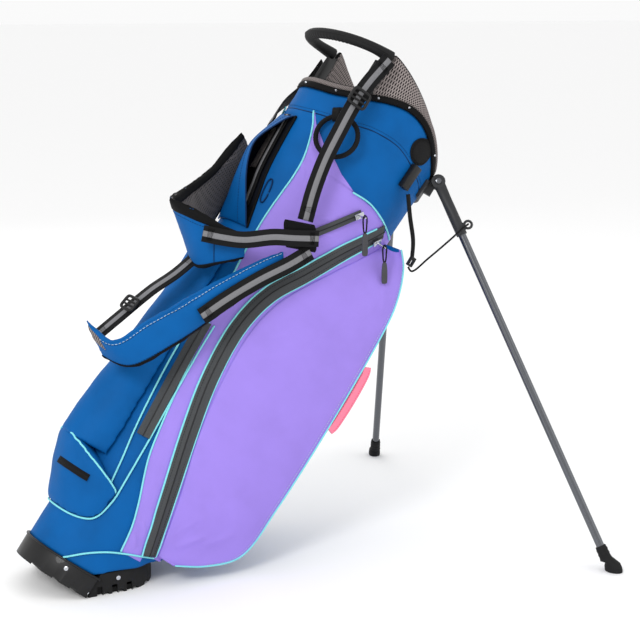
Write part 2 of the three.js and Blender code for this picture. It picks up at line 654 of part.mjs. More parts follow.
// A slider and the pull that hangs straight down from it, towards the floor.
const DOWN = vec(0, 0, -1).transformDirection(bagFromFloor);
const SLIDER_LIFT = 8.4;
const HOOK_OUT = 18;                                // from the slider out to the pull's hinge
function zipParts([x, z], [x2, z2], pullLength) {
  const angle = angleAt(z, x, RIGHT);
  const at = onTube(z, angle, SLIDER_LIFT);
  const travel = onTube(z, angle).sub(onTube(z2, angleAt(z2, x2, RIGHT))).normalize();
  const out = outwardAt(angle).addScaledVector(travel, -outwardAt(angle).dot(travel)).normalize();
  const basis = new THREE.Matrix4().makeBasis(travel, out.clone().cross(travel), out).setPosition(at);
  const body = box(-8, 8, -4.5, 4.5, -2.4, 2.4);
  const stem = rod(vec(0, 0, 2), vec(0, 0, HOOK_OUT + 2.5), 1.6, 8);
  const slider = join(body, stem).applyMatrix4(basis);
  const hook = at.clone().addScaledVector(out, HOOK_OUT);
  const up = DOWN.clone().negate();
  const sideways = vec(0, RIGHT, 0);
  const pullAxes = new THREE.Matrix4().makeBasis(up.clone().cross(sideways), up, sideways).setPosition(hook);
  const tongue = box(-4.5, 4.5, -pullLength * 0.45, 5, -1.5, 1.5);
  const grip = box(-5, 5, -pullLength, -pullLength * 0.4, -2.4, 2.4);
  const eye = rod(vec(0, 0, -8), vec(0, 0, 8), 2.7, 10);
  const pull = cut(join(tongue, grip), eye).applyMatrix4(pullAxes);
  return { slider, pull };
}

const mainZip = zipParts([104, 700], [62, 645], 58);
const upperZip = zipParts([46, 714], [26, 687], 60);
add(bag, 'zip_slider_main', mainZip.slider, blackPlastic());
add(bag, 'zip_pull_main', mainZip.pull, blackPlastic());
add(bag, 'zip_slider_upper', upperZip.slider, blackPlastic());
add(bag, 'zip_pull_upper', upperZip.pull, blackPlastic());

// ---------------------------------------------------------------- shoulder straps
const PAD_THICK = 13;

// A padded band between a top edge and a bottom edge, each a smooth curve.
function pad(topEdge, bottomEdge) {
  const top = new THREE.CatmullRomCurve3(topEdge.map((p) => vec(...p)));
  const bottom = new THREE.CatmullRomCurve3(bottomEdge.map((p) => vec(...p)));
  return slab((u, v, out) => {
    const a = top.getPoint(u);
    const b = bottom.getPoint(u);
    const lengthwise = top.getTangent(u).add(bottom.getTangent(u)).normalize();
    const normal = lengthwise.cross(b.clone().sub(a)).normalize();
    const half = PAD_THICK / 2 * (0.35 + 0.65 * Math.sin(Math.PI * v) ** 0.5);
    return a.lerp(b, v).addScaledVector(normal, out ? half : -half);
  }, 14, 4);
}

const UPPER_PAD = {
  top: [[-126, 45, 746], [-158, 20, 656], [-194, -15, 600], [-212, -45, 577], [-198, -76, 579],
    [-172, -98, 581], [-141, -110, 582], [-108, -113, 588]],
  bottom: [[-90, 70, 690], [-96, 58, 640], [-110, 38, 588], [-127, 2, 545], [-134, -42, 512], [-124, -76, 512],
    [-114, -98, 522], [-100, -110, 540], [-82, -113, 558]],
};
const LOWER_PAD = {
  top: [[-223, -40, 355], [-190, -92, 349], [-172, -114, 398], [-145, -122, 449], [-116, -126, 502],
    [-76, -127, 562], [-44, -127, 600]],
  bottom: [[-168, -52, 321], [-140, -100, 331], [-110, -120, 384], [-76, -126, 458], [-47, -127, 521],
    [-26, -127, 578]],
};
add(bag, 'shoulder_pad_upper', pad(UPPER_PAD.top, UPPER_PAD.bottom), blueFabric());
add(bag, 'shoulder_pad_lower', pad(LOWER_PAD.top, LOWER_PAD.bottom), blueFabric());

const OUTWARD_RIGHT = vec(-0.2, -1, 0);
const route = (points, facing, count) => smoothRoute(points.map((p) => ({ at: vec(...p), facing })), count);
const strap = (points, facing, count, width = STRAP_WIDTH) =>
  ribbon(route(points, facing, count), width, STRAP_THICK);

add(bag, 'strap_front', strap([[-50, -113, 940], [-62, -118, 890], [-67, -122, 850], [-66, -125, 800],
  [-62, -126, 750], [-52, -127, 700], [-38, -128, 655]], OUTWARD_RIGHT, 16), blackWebbing());
add(bag, 'strap_upper', strap([[-168, -118, 551], [-140, -127, 562], [-112, -132, 576], [-76, -135, 604],
  [-48, -136, 620], [-16, -137, 640]], OUTWARD_RIGHT, 12), blackWebbing());
add(bag, 'strap_lower', strap([[-28, -138, 584], [-58, -140, 540], [-88, -140, 488], [-108, -138, 445]],
  OUTWARD_RIGHT, 10), blackWebbing());
add(bag, 'strap_back', strap([[-188, -30, 345], [-176, -36, 385], [-158, -46, 445], [-142, -53, 484],
  [-138, -54, 494]], vec(-1, -0.4, 0.5), 10), blackWebbing());
const FAR_STRAP = [[928, 126], [895, 128], [863, 133], [830, 145], [802, 158], [780, 166]];
add(bag, 'strap_far', ribbon(smoothRoute(FAR_STRAP.map(([z, degrees]) => ({
  at: onTube(z, degToRad(degrees), 11),
  facing: outwardAt(degToRad(degrees)),
})), 12), STRAP_WIDTH, STRAP_THICK), blackWebbing());

const strapYoke = () => slab((u, v, out) =>
  vec(lerp(-40, 12, u) - 36 * v, out ? -145.5 : -141.2, lerp(582, 603, u) + 54 * v), 1, 1);
add(bag, 'strap_yoke', strapYoke(), blackWebbing());

// Flat moulded buckle: a frame with two slots, one on each side of its bar.
function buckle(centre, facing, width, height) {
  const slot = (z) => box(-width / 2 + 5, width / 2 - 5, -6, 6, z - height * 0.13, z + height * 0.13);
  const body = cut(box(-width / 2, width / 2, -2.5, 2.5, -height / 2, height / 2),
    slot(-height * 0.23), slot(height * 0.23));
  const out = vec(...facing).normalize();
  const across = out.clone().cross(vec(0, 0, 1)).normalize();
  return body.applyMatrix4(new THREE.Matrix4().makeBasis(across, out, across.clone().cross(out)))
    .translate(...centre);
}
add(bag, 'ladder_lock', buckle([-67, -127.5, 858], [-0.2, -1, 0], 37, 30), blackPlastic());
add(bag, 'strap_slider', buckle([-175.4, -41.7, 410.5], [-1, -0.4, 0.2], 30, 26), blackPlastic());

// ---------------------------------------------------------------- towel ring
const RING_RADIUS = 33;
const RING_THICK = 4;
const RING_ANGLE = degToRad(-134);
const ringOut = outwardAt(RING_ANGLE);
const ringTop = onTube(826, RING_ANGLE, 11);
const ringDown = DOWN.clone().addScaledVector(ringOut, -DOWN.dot(ringOut)).normalize();
const ringUp = ringDown.clone().negate();
const ringAxes = new THREE.Matrix4().makeBasis(ringUp.clone().cross(ringOut), ringUp, ringOut);
const ringTorus = (thickness) => new THREE.TorusGeometry(RING_RADIUS, thickness, 6, 24)
  .applyMatrix4(ringAxes.clone().setPosition(ringTop.clone().addScaledVector(ringDown, RING_RADIUS)));
function ringTab() {
  const block = box(-9, 9, -7, 16, -7.5, 6.5);
  const groove = rod(vec(-30, 0, 0), vec(30, 0, 0), 5.4, 12);
  const tab = cut(block, groove).applyMatrix4(ringAxes.clone().setPosition(ringTop));
  return cut(tab, tubeSolid(GAP, 780, 900), ringTorus(RING_THICK + 1.2));
}
add(bag, 'towel_ring', ringTorus(RING_THICK), blackRubber());
add(bag, 'towel_ring_tab', ringTab(), blackWebbing());

// ---------------------------------------------------------------- small fittings
// A round or oval plate lying on the tube; a square grid is squeezed into the oval.
const plate = (z, angle, halfTurn, halfHigh, lift0, lift1, grid = 5) => slab((u, v, out) => {
  const [a, b] = [2 * u - 1, 2 * v - 1];
  const across = a * Math.sqrt(1 - b * b / 2);
  const high = b * Math.sqrt(1 - a * a / 2);
  return onTube(z + halfHigh * high, angle + halfTurn * across, out ? lift1 : lift0);
}, grid, grid);
add(bag, 'cuff_patch', plate(857, degToRad(-68), degToRad(9), 18, GAP + 0.8, 3.6), blackWebbing());

add(bag, 'leg_strap_lock', slab((u, v, out) => onTube(lerp(794, 836, v), degToRad(lerp(-70, -63, u)),
  out ? 12 : 1.5), 2, 2), blackPlastic());
add(bag, 'leg_strap', strap([[104, -110, 790], [126, -114, 762], [150, -117, 733], [163, -118, 714]],
  vec(0.35, -1, 0), 8, 10), blackWebbing());
const hookAt = vec(168, -118, 705);
const hook = cut(box(-5, 5, -3, 3, -9, 7), box(-2, 2, -9, 9, -6, 2)).translate(...hookAt);
add(bag, 'leg_strap_hook', hook, blackPlastic());

const ringOnLeg = vec(0, 16, -ARM_LENGTH + 12).applyMatrix4(legFrames[RIGHT].matrix);
const cordEnd = ringOnLeg.clone().addScaledVector(legFrames[RIGHT].outward, 5);
const cordRoute = [hookAt.clone().add(vec(0, 0, -11)), hookAt.clone().add(vec(8, -3, -14)),
  vec(190, -123, 725), vec(208, -125, 775), cordEnd.clone().add(vec(-7, -4, -10)), cordEnd];
add(bag, 'leg_cord', rope(cordRoute, 1.6, 6, 18), blackWebbing());

// Webbing grab bar beside the pocket's free edge, parallel to the plane in which the right leg folds.
function grabHandle() {
  const { outward } = legFrames[RIGHT];
  const bar = [[204.5, 541], [208, 532], [211, 512], [212, 470], [211, 430], [208, 411], [204.5, 402]];
  return ribbon(route(bar.map(([x, z]) => [x, -113, z]), outward, 14), 17, 4);
}
add(bag, 'grab_handle', grabHandle(), pinkWebbing());

add(bag, 'ball_pocket_tab', ballPocketTab(), blackWebbing());

for (const [side, word] of SIDES) {
  const shellRivet = plate(22, side * degToRad(128), degToRad(1.9), 3.6, 3 + GAP, 5.2, 3);
  add(bag, `shell_rivet_${word}`, shellRivet, steel());
  const rivetAt = (lift) => vec(48, side * (FOOT.halfWidth + lift), 24);
  const footRivet = rod(rivetAt(GAP), rivetAt(2), 3.6, 12);
  add(foot, `foot_rivet_${word}`, footRivet, steel());
}

export default standBag;
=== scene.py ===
"""Golf stand bag: the looks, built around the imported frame.

Pieces are modelled in the bag frame, in millimetres: x across the tube towards the legs' side
(the belly), y to the bag's left, z along the tube. BAG turns that frame into the row frame.
"""
import json
import math

import bpy
import numpy as np
from mathutils import Matrix, Vector
from mathutils.bvhtree import BVHTree
from mathutils.kdtree import KDTree


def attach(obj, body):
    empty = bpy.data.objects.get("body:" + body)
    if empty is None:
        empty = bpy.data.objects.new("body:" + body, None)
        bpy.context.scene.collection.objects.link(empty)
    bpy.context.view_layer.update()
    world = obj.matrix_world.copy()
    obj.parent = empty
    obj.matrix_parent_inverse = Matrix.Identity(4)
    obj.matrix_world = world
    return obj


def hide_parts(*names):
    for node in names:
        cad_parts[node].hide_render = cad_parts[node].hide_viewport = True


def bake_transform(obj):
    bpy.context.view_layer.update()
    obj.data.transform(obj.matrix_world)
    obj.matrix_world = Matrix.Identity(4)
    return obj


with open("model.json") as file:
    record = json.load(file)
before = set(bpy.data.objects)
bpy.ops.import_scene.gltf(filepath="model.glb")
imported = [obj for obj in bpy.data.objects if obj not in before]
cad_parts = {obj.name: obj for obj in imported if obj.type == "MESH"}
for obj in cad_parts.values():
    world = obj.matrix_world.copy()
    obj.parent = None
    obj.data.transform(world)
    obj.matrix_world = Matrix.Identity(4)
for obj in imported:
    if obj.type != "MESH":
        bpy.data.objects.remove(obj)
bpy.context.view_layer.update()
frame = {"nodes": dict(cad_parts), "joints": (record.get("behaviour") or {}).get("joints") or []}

# ---------------------------------------------------------------- frame and driving dimensions
MM = 0.001
JOINTS = {joint["name"]: joint for joint in frame["joints"]}
LEAN = math.radians(JOINTS["base_foot_close"]["range_deg"][1])
SOLE_CENTRE = -JOINTS["base_foot_close"]["pos_m"][0]
BAG = Matrix.Translation((-SOLE_CENTRE, 0, 0)) @ Matrix.Rotation(LEAN, 4, "Y") @ Matrix.Scale(MM, 4)
FLOOR = Matrix.Translation((-SOLE_CENTRE, 0, 0)) @ Matrix.Scale(MM, 4)
RIGHT, LEFT = -1, 1
SIDES = ((RIGHT, "right"), (LEFT, "left"))

TUBE_LOW = np.array([30, 18, 109, 92], float)       # z, centre x, half across, half deep
TUBE_HIGH = np.array([860, 40, 134, 108], float)
RIM_MIDDLE, RIM_TILT, RIM_ARCH = 853, 6, 48
EAR_PEAK, EAR_DROP, EAR_LENGTH = 958, 104, 200
SHELL_HEM = 33.4
FLOOR_CLEARANCE = 35.4
FABRIC = 4
BINDING_LIFT = 4
PIPING = 1.5                                         # radius of the sewn piping
STRAP_WIDTH, STRAP_THICK = 25, 2.4

rad = np.radians


def full_turn(count):
    return np.linspace(0, 2 * math.pi, count, endpoint=False)


def squared(wave, power):
    """A wave with its crests flattened, which turns a circle into a rounded square."""
    return np.sign(wave) * np.abs(wave) ** power


def points_of(*columns):
    return np.stack(np.broadcast_arrays(*[np.asarray(c, float) for c in columns]), axis=-1)


def unit(v):
    return v / np.maximum(np.linalg.norm(v, axis=-1, keepdims=True), 1e-9)


def in_row_frame(points):
    m = np.array(BAG)
    return np.asarray(points, float) @ m[:3, :3].T + m[:3, 3]


def in_bag_frame(point):
    return np.array(BAG.inverted() @ Vector(point))


def section(z):
    share = (np.asarray(z, float) - TUBE_LOW[0]) / (TUBE_HIGH[0] - TUBE_LOW[0])
    return [TUBE_LOW[k] + (TUBE_HIGH[k] - TUBE_LOW[k]) * share for k in (1, 2, 3)]


def on_tube(z, angle, lift=0.0):
    """A point of the tube: angle 0 is the belly, -90 degrees the right side, 180 degrees the spine."""
    centre, across, deep = section(z)
    return points_of(centre + (across + lift) * np.cos(angle), (deep + lift) * np.sin(angle), z)


def angle_at(z, x, side=RIGHT):
    centre, across, _ = section(z)
    return side * np.arccos(np.clip((np.asarray(x, float) - centre) / across, -1, 1))


def outward(angle):
    return points_of(np.cos(angle), np.sin(angle), 0)


def rim(angle):
    return RIM_MIDDLE - RIM_TILT * np.cos(angle) + RIM_ARCH * np.sin(angle) ** 4


def ease(x, low, high):
    t = np.clip((np.asarray(x, float) - low) / (high - low), 0, 1)
    return t * t * (3 - 2 * t)


def bump_at(x, centre, width):
    return np.exp(-((x - centre) / width) ** 2)


def run_along(route):
    """Distance from the start of a route to each of its points."""
    return np.concatenate([[0], np.cumsum(np.linalg.norm(np.diff(route, axis=0), axis=1))])


def place_at(run, route, distance):
    return np.stack([np.interp(distance, run, column) for column in route.T], axis=-1)


def smooth(points, count):
    """Evenly spaced points on one smooth curve through the given ones."""
    p = np.array(points, float)
    p = np.vstack([2 * p[0] - p[1], p, 2 * p[-1] - p[-2]])
    knots = np.concatenate([[0], np.cumsum(np.sqrt(np.linalg.norm(np.diff(p, axis=0), axis=1)) + 1e-6)])
    pieces = []
    for i in range(1, len(p) - 2):
        t0, t1, t2, t3 = knots[i - 1:i + 3]
        t = np.linspace(t1, t2, 24, endpoint=False)[:, None]
        a1 = ((t1 - t) * p[i - 1] + (t - t0) * p[i]) / (t1 - t0)
        a2 = ((t2 - t) * p[i] + (t - t1) * p[i + 1]) / (t2 - t1)
        a3 = ((t3 - t) * p[i + 1] + (t - t2) * p[i + 2]) / (t3 - t2)
        b1 = ((t2 - t) * a1 + (t - t0) * a2) / (t2 - t0)
        b2 = ((t3 - t) * a2 + (t - t1) * a3) / (t3 - t1)
        pieces.append(((t2 - t) * b1 + (t - t1) * b2) / (t2 - t1))
    fine = np.vstack(pieces + [p[-2:-1]])
    run = run_along(fine)
    return place_at(run, fine, np.linspace(0, run[-1], count))


def profile(stations, at):
    """Value at each place along a smooth curve through (place, value) stations."""
    line = smooth(stations, 200)
    return np.interp(at, line[:, 0], line[:, 1])


def ripple(points, size, seed):
    """Soft cloth undulation, from -1 to 1, about that many millimetres from crest to crest."""
    draw = np.random.default_rng(seed)
    total = np.zeros(np.shape(points)[:-1])
    for _ in range(7):
        direction = unit(draw.normal(size=3)) * 2 * math.pi / (size * draw.uniform(0.6, 1.6))
        total += np.sin(points @ direction + draw.uniform(0, 6.28))
    return total / 7 * 1.6


def fold(x, z, start, end, width, height):
    """A crease's height at (x, z): a ridge from start to end that fades at both ends."""
    a, b = np.array(start, float), np.array(end, float)
    line = b - a
    length = np.linalg.norm(line)
    line /= length
    along = (x - a[0]) * line[0] + (z - a[1]) * line[1]
    aside = (x - a[0]) * -line[1] + (z - a[1]) * line[0]
    share = np.clip(along / length, 0, 1)
    within = np.exp(-((along - share * length) / width) ** 2)
    return height * np.exp(-(aside / width) ** 2) * np.sin(math.pi * share) ** 0.5 * within


# ---------------------------------------------------------------- materials
def colour(hex_code):
    parts = [int(hex_code[i:i + 2], 16) / 255 for i in (0, 2, 4)]
    return [c / 12.92 if c <= 0.04045 else ((c + 0.055) / 1.055) ** 2.4 for c in parts] + [1]


class Look:
    """A material under construction: its nodes, and short calls that add and link them."""

    def __init__(self, name, roughness, metallic=0.0, sheen=0.0, coat=0.0, specular=0.3):
        self.material = bpy.data.materials.new(name)
        self.material.use_nodes = True
        self.tree = self.material.node_tree
        self.shader = self.tree.nodes["Principled BSDF"]
        self.shader.inputs["Roughness"].default_value = roughness
        self.shader.inputs["Metallic"].default_value = metallic
        self.shader.inputs["Sheen Weight"].default_value = sheen
        self.shader.inputs["Coat Weight"].default_value = coat
        self.shader.inputs["Specular IOR Level"].default_value = specular
        self.heights = []

    def node(self, kind, inputs=(), **settings):
        made = self.tree.nodes.new("ShaderNode" + kind)
        for key, value in settings.items():
            setattr(made, key, value)
        for key, value in dict(inputs).items():
            if isinstance(value, bpy.types.NodeSocket):
                self.tree.links.new(value, made.inputs[key])
            else:
                made.inputs[key].default_value = value
        return made

    def place(self, uv, turn=0.0):
        """Coordinates in metres: along and across the cloth where it has them, else the row frame's."""
        if uv:
            source = self.node("UVMap", uv_map="cloth").outputs["UV"]
            return self.node("Mapping", {"Vector": source, "Rotation": (0, 0, turn)}).outputs["Vector"]
        source = self.node("TexCoord").outputs["Object"]
        return self.node("Mapping", {"Vector": source, "Rotation": (turn, -LEAN, 0)}).outputs["Vector"]

    def bands(self, place, direction, pitch):
        return self.node("TexWave", {"Vector": place, "Scale": 0.31416 / (pitch * MM)},
                         bands_direction=direction).outputs["Fac"]

    def noise(self, place, size, detail=3.0):
        inputs = {"Vector": place, "Scale": 1 / (size * MM), "Detail": detail}
        return self.node("TexNoise", inputs).outputs["Fac"]

    def sum(self, a, b, operation="ADD"):
        return self.node("Math", {0: a, 1: b}, operation=operation).outputs["Value"]

    def ramp(self, fac, stops):
        made = self.node("ValToRGB", {"Fac": fac})
        while len(made.color_ramp.elements) < len(stops):
            made.color_ramp.elements.new(0.5)
        for element, (position, shade) in zip(made.color_ramp.elements, stops):
            element.position, element.color = position, shade
        return made.outputs["Color"]

    def mix(self, fac, a, b, blend="MIX"):
        made = self.node("Mix", data_type="RGBA", blend_type=blend)
        for socket, value in ((made.inputs[0], fac), (made.inputs[6], a), (made.inputs[7], b)):
            if isinstance(value, bpy.types.NodeSocket):
                self.tree.links.new(value, socket)
            else:
                socket.default_value = value
        return made.outputs[2]

    def paint(self, socket):
        self.tree.links.new(socket, self.shader.inputs["Base Color"])

    def rough(self, fac, low, high):
        made = self.node("MapRange", {"Value": fac, "To Min": low, "To Max": high})
        self.tree.links.new(made.outputs["Result"], self.shader.inputs["Roughness"])

    def relief(self, *layers):
        """Bump from (height, depth in mm, strength) layers, each on top of the one before."""
        below = None
        for height, depth, strength in layers:
            inputs = {"Height": height, "Distance": depth * MM, "Strength": strength}
            if below is not None:
                inputs["Normal"] = below
            below = self.node("Bump", inputs).outputs["Normal"]
        self.tree.links.new(below, self.shader.inputs["Normal"])


def shades(base, dark, light):
    """The base colour, darkened and lightened."""
    return [tuple(c * k for c in base[:3]) + (1,) for k in (dark, 1.0, light)]


def woven(name, base, pitch=0.9, uv=True, roughness=0.62, sheen=0.0, variation=0.12, depth=0.12):
    """Woven nylon or polyester: crossing threads and faint cloudiness."""
    look = Look(name, roughness, sheen=sheen, specular=0.12)
    place = look.place(uv)
    cross = "Y" if uv else "Z"
    weave = look.sum(look.bands(place, "X", pitch), look.bands(place, cross, pitch), "MULTIPLY")
    cloud = look.noise(place, 60)
    grain = look.noise(place, 1.4)
    low, middle, high = shades(base, 1 - variation, 1 + variation * 0.7)
    body = look.ramp(cloud, [(0.3, low), (0.5, middle), (0.72, high)])
    look.paint(look.mix(look.sum(weave, 0.16, "MULTIPLY"), body, shades(base, 0.62, 1)[0]))
    look.rough(grain, roughness - 0.08, roughness + 0.1)
    look.relief((weave, depth, 0.5), (look.noise(place, 24), 1.2, 0.12))
    return look.material


def air_mesh(name, base, hole, pitch, uv=True, share=0.34):
    """Spacer mesh: a knitted face with staggered round holes over dark foam."""
    look = Look(name, 0.85, sheen=0.1, specular=0.2)
    place = look.place(uv, math.pi / 4)
    cells = look.node("TexVoronoi", {"Vector": place, "Scale": 1 / (pitch * MM), "Randomness": 0.0},
                      voronoi_dimensions="2D" if uv else "3D").outputs["Distance"]
    face = look.ramp(cells, [(share - 0.06, (0, 0, 0, 1)), (share + 0.06, (1, 1, 1, 1))])
    knit = look.noise(place, 1.1)
    shade = look.ramp(knit, [(0.3, shades(base, 0.7, 1)[0]), (0.7, shades(base, 1, 1.15)[2])])
    look.paint(look.mix(face, colour(hole), shade))
    look.relief((face, 0.9, 0.8), (knit, 0.2, 0.5))
    return look.material


def ribbed(name, base, pitch=1.3, roughness=0.6, sheen=0.0, contrast=0.35):
    """Webbing: ribs across the strap, broken by the yarns that run along it."""
    look = Look(name, roughness, sheen=sheen, specular=0.14)
    place = look.place(True)
    ribs = look.bands(place, "X", pitch)
    yarns = look.bands(place, "Y", pitch * 1.6)
    weave = look.sum(ribs, look.sum(yarns, 0.45, "MULTIPLY"))
    dark, _, light = shades(base, 1 - contrast, 1 + contrast)
    look.paint(look.mix(look.noise(place, 3), look.ramp(weave, [(0.2, dark), (1.0, base)]), light, "MIX"))
    look.relief((weave, 0.3, 0.7))
    return look.material


def moulded(name, base, roughness, grain=0.5, depth=0.05, highlight_gain=1.6, metallic=0.0, coat=0.0):
    """Moulded plastic or rubber: fine grain, with a painted highlight that lightens its sharp edges."""
    look = Look(name, roughness, metallic=metallic, coat=coat)
    place = look.place(False)
    fine = look.noise(place, grain)
    # Painted highlight: sharp edges, found by their pointiness, are lightened towards a lighter copy of the
    # base colour.
    edge = look.node("NewGeometry").outputs["Pointiness"]
    edge_highlight = look.ramp(edge, [(0.5, (0, 0, 0, 1)), (0.62, (1, 1, 1, 1))])
    # The lighter copy of the base is the painted highlight's colour; the darker copy is random tone.
    dark, _, light = shades(base, 0.82, highlight_gain)
    body = look.ramp(look.noise(place, 30), [(0.35, dark), (0.65, base)])
    look.paint(look.mix(look.sum(edge_highlight, 0.6, "MULTIPLY"), body, light))
    look.rough(fine, roughness - 0.07, roughness + 0.08)
    look.relief((fine, depth, 0.6))
    return look.material


def brushed(name, base, roughness, anisotropy=0.5):
    """Drawn metal, finely streaked."""
    look = Look(name, roughness, metallic=1.0)
    look.shader.inputs["Anisotropic"].default_value = anisotropy
    place = look.place(False)
    drawn = look.node("Mapping", {"Vector": place, "Scale": (1, 1, 0.04)}).outputs["Vector"]
    streaks = look.noise(drawn, 1.2)
    dark, _, light = shades(base, 0.93, 1.06)
    look.paint(look.ramp(streaks, [(0.35, dark), (0.65, light)]))
    look.rough(streaks, roughness - 0.03, roughness + 0.04)
    look.relief((streaks, 0.01, 0.3))
    return look.material


BLUE = colour("00579A")
PURPLE = colour("9A82DC")
AQUA = colour("84DCE2")
BLACK = colour("0F0F10")
M = {
    "blue": woven("blue_ripstop", BLUE),
    "blue_soft": woven("blue_ripstop_padded", BLUE, uv=False),
    "lining": woven("dark_lining", colour("10131C"), roughness=0.8),
    "purple": woven("purple_polyester", PURPLE, pitch=0.7, variation=0.05),
    "aqua": ribbed("aqua_piping", AQUA, pitch=0.8, roughness=0.5, contrast=0.12),
    "webbing": ribbed("black_webbing", BLACK),
    "stripe": ribbed("grey_reflective_stripe", colour("77777A"), pitch=1.0, roughness=0.42, contrast=0.2),
    "tape": ribbed("zip_tape", colour("46484A"), pitch=0.9, contrast=0.25),
    "coil": moulded("zip_coil", colour("1C1D1F"), 0.4),
    "tag": woven("white_tag", colour("D8DADC"), pitch=0.5),
    "cord": ribbed("black_cord", colour("0E0E0F"), pitch=1.1, contrast=0.5),
    "pink_thread": ribbed("pink_thread", colour("D8607A"), pitch=0.5),
    "pink": ribbed("pink_webbing", colour("EE8098"), pitch=1.2, contrast=0.12),
    "binding": woven("black_binding", colour("0B0B0C"), pitch=0.8, roughness=0.7),
    "thread": ribbed("dark_thread", colour("0A2A52"), pitch=0.5),
    "black_thread": ribbed("black_thread", colour("0C0C0E"), pitch=0.5),
    "pale_thread": ribbed("pale_thread", colour("BFD3DE"), pitch=0.5),
    "mesh": air_mesh("grey_air_mesh", colour("948A88"), "060607", 2.9),
    "dark_mesh": air_mesh("dark_air_mesh", colour("5A5656"), "070708", 3.0, uv=False),
    "plastic": moulded("black_nylon", colour("0C0C0D"), 0.45, coat=0.1),
    "grey_plastic": moulded("charcoal_nylon", colour("2B2C2E"), 0.48, grain=0.7),
    "rubber": moulded("black_rubber", colour("101011"), 0.72, grain=0.8, depth=0.12),
    "grip": moulded("grey_grip_rubber", colour("424347"), 0.6, grain=1.2, depth=0.2),
    "gunmetal": brushed("gunmetal_tube", colour("686A6E"), 0.22),
    "steel": brushed("bright_steel", colour("C6C9CE"), 0.25, 0.2),
}


def outward_faces(points, faces):
    """The faces, turned so that their volume is positive."""
    points = np.asarray(points, float)
    fans = np.array([(face[0], face[i], face[i + 1]) for face in faces for i in range(1, len(face) - 1)])
    a, b, c = (points[fans[:, k]] for k in range(3))
    volume = np.sum(a * np.cross(b, c))
    return faces if volume > 0 else [list(face)[::-1] for face in faces]


def piece(name, points, faces, looks, face_look=None, cloth=None, body="bag", slot=None, replaces=()):
    """A piece of the object from points in millimetres, riding on a body."""
    mesh = bpy.data.meshes.new(name)
    mesh.from_pydata(in_row_frame(points).tolist(), [], faces)
    for look in looks:
        mesh.materials.append(M[look])
    if face_look is not None:
        mesh.polygons.foreach_set("material_index", np.asarray(face_look, np.int32))
    mesh.polygons.foreach_set("use_smooth", np.ones(len(faces), bool))
    if cloth is not None:
        layer = mesh.uv_layers.new(name="cloth")
        corners = np.concatenate([np.asarray(face) for face in faces])
        layer.data.foreach_set("uv", (np.asarray(cloth)[corners] * MM).ravel())
    mesh.update()
    made = bpy.data.objects.new(name, mesh)
    bpy.context.scene.collection.objects.link(made)
    if body:
        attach(made, body)
    if replaces:
        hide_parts(*replaces)
    return made


def cloth_map(sheet_points):
    """Distance run along each direction of a grid of points."""
    along = np.linalg.norm(np.diff(sheet_points, axis=0), axis=-1).mean(axis=1)
    across = np.linalg.norm(np.diff(sheet_points, axis=1), axis=-1).mean(axis=0)
    u = np.concatenate([[0], np.cumsum(along)])
    v = np.concatenate([[0], np.cumsum(across)])
    return np.stack(np.meshgrid(u, v, indexing="ij"), axis=-1).reshape(-1, 2)


def grid_faces(nu, nv, first=0):
    i, j = np.meshgrid(np.arange(nu - 1), np.arange(nv - 1), indexing="ij")
    a = first + i * nv + j
    return np.stack([a, a + nv, a + nv + 1, a + 1], axis=-1).reshape(-1, 4)


def normals_of(grid):
    du = np.gradient(grid, axis=0)
    dv = np.gradient(grid, axis=1)
    return unit(np.cross(du, dv))


def slab(name, outer, inner, looks, face_look=None, inner_look=0, edge_look=0, **where):
    """A sheet with an outer and an inner face, closed round its four edges."""
    nu, nv = outer.shape[:2]
    count = nu * nv
    points = np.vstack([outer.reshape(-1, 3), inner.reshape(-1, 3)])
    front = grid_faces(nu, nv)
    back = grid_faces(nu, nv, count)[:, ::-1]
    index = np.arange(count).reshape(nu, nv)
    loop = np.concatenate([index[0, :-1], index[:-1, -1], index[-1, :0:-1], index[:0:-1, 0]])
    following = np.roll(loop, -1)
    edge = np.stack([loop, following, following + count, loop + count], axis=-1)
    faces = np.vstack([front, back, edge]).tolist()
    front_look = np.zeros(len(front)) if face_look is None else np.asarray(face_look).ravel()
    face_looks = np.concatenate([front_look, np.full(len(back), inner_look), np.full(len(edge), edge_look)])
    faces = outward_faces(points, faces)
    cloth = np.vstack([cloth_map(outer)] * 2)
    return piece(name, points, faces, looks, face_looks, cloth, **where)


def hoop(name, rings, looks, ring_look=None, **where):
    """A closed band: rings[i][k] is corner k of its section at turn i."""
    rings = np.asarray(rings, float)
    n, corners = rings.shape[:2]
    points = rings.reshape(-1, 3)
    i, k = np.meshgrid(np.arange(n), np.arange(corners), indexing="ij")
    up, right = (k + 1) % corners, (i + 1) % n
    faces = np.stack([i * corners + k, i * corners + up, right * corners + up, right * corners + k], axis=-1)
    faces = outward_faces(points, faces.reshape(-1, 4).tolist())
    looks_of = None if ring_look is None else np.tile(ring_look, n)
    return piece(name, points, faces, looks, looks_of, cloth_map(rings), **where)


def loft(name, rings, looks, face_look=None, **where):
    """A solid through rings with the same number of points, closed at both ends."""
    rings = np.asarray(rings, float)
    points, faces, _ = ring_solid(rings)
    faces = outward_faces(points, faces)
    looks_of = None if face_look is None else np.concatenate([np.tile(face_look, len(rings) - 1), [0, 0]])
    return piece(name, points, faces, looks, looks_of, cloth_map(rings), **where)


def frames_along(route, start_up=None):
    """Tangent and two sideways directions at each point, turning as little as they can."""
    tangent = unit(np.gradient(route, axis=0))
    up = np.array([0.0, 0, 1]) if start_up is None else np.asarray(start_up, float)
    if abs(np.dot(up, tangent[0])) > 0.95:
        up = np.array([1.0, 0, 0])
    ups = []
    for t in tangent:
        up = up - np.dot(up, t) * t
        up = up / np.linalg.norm(up)
        ups.append(up)
    ups = np.array(ups)
    return tangent, ups, np.cross(tangent, ups)


def rings_round(centres, up, side, radius, sides):
    """A circle of points at each centre, in the plane of its two directions."""
    turn = full_turn(sides)[:, None]
    return centres[:, None] + np.asarray(radius, float)[..., None] * (
        np.cos(turn) * up[:, None] + np.sin(turn) * side[:, None])


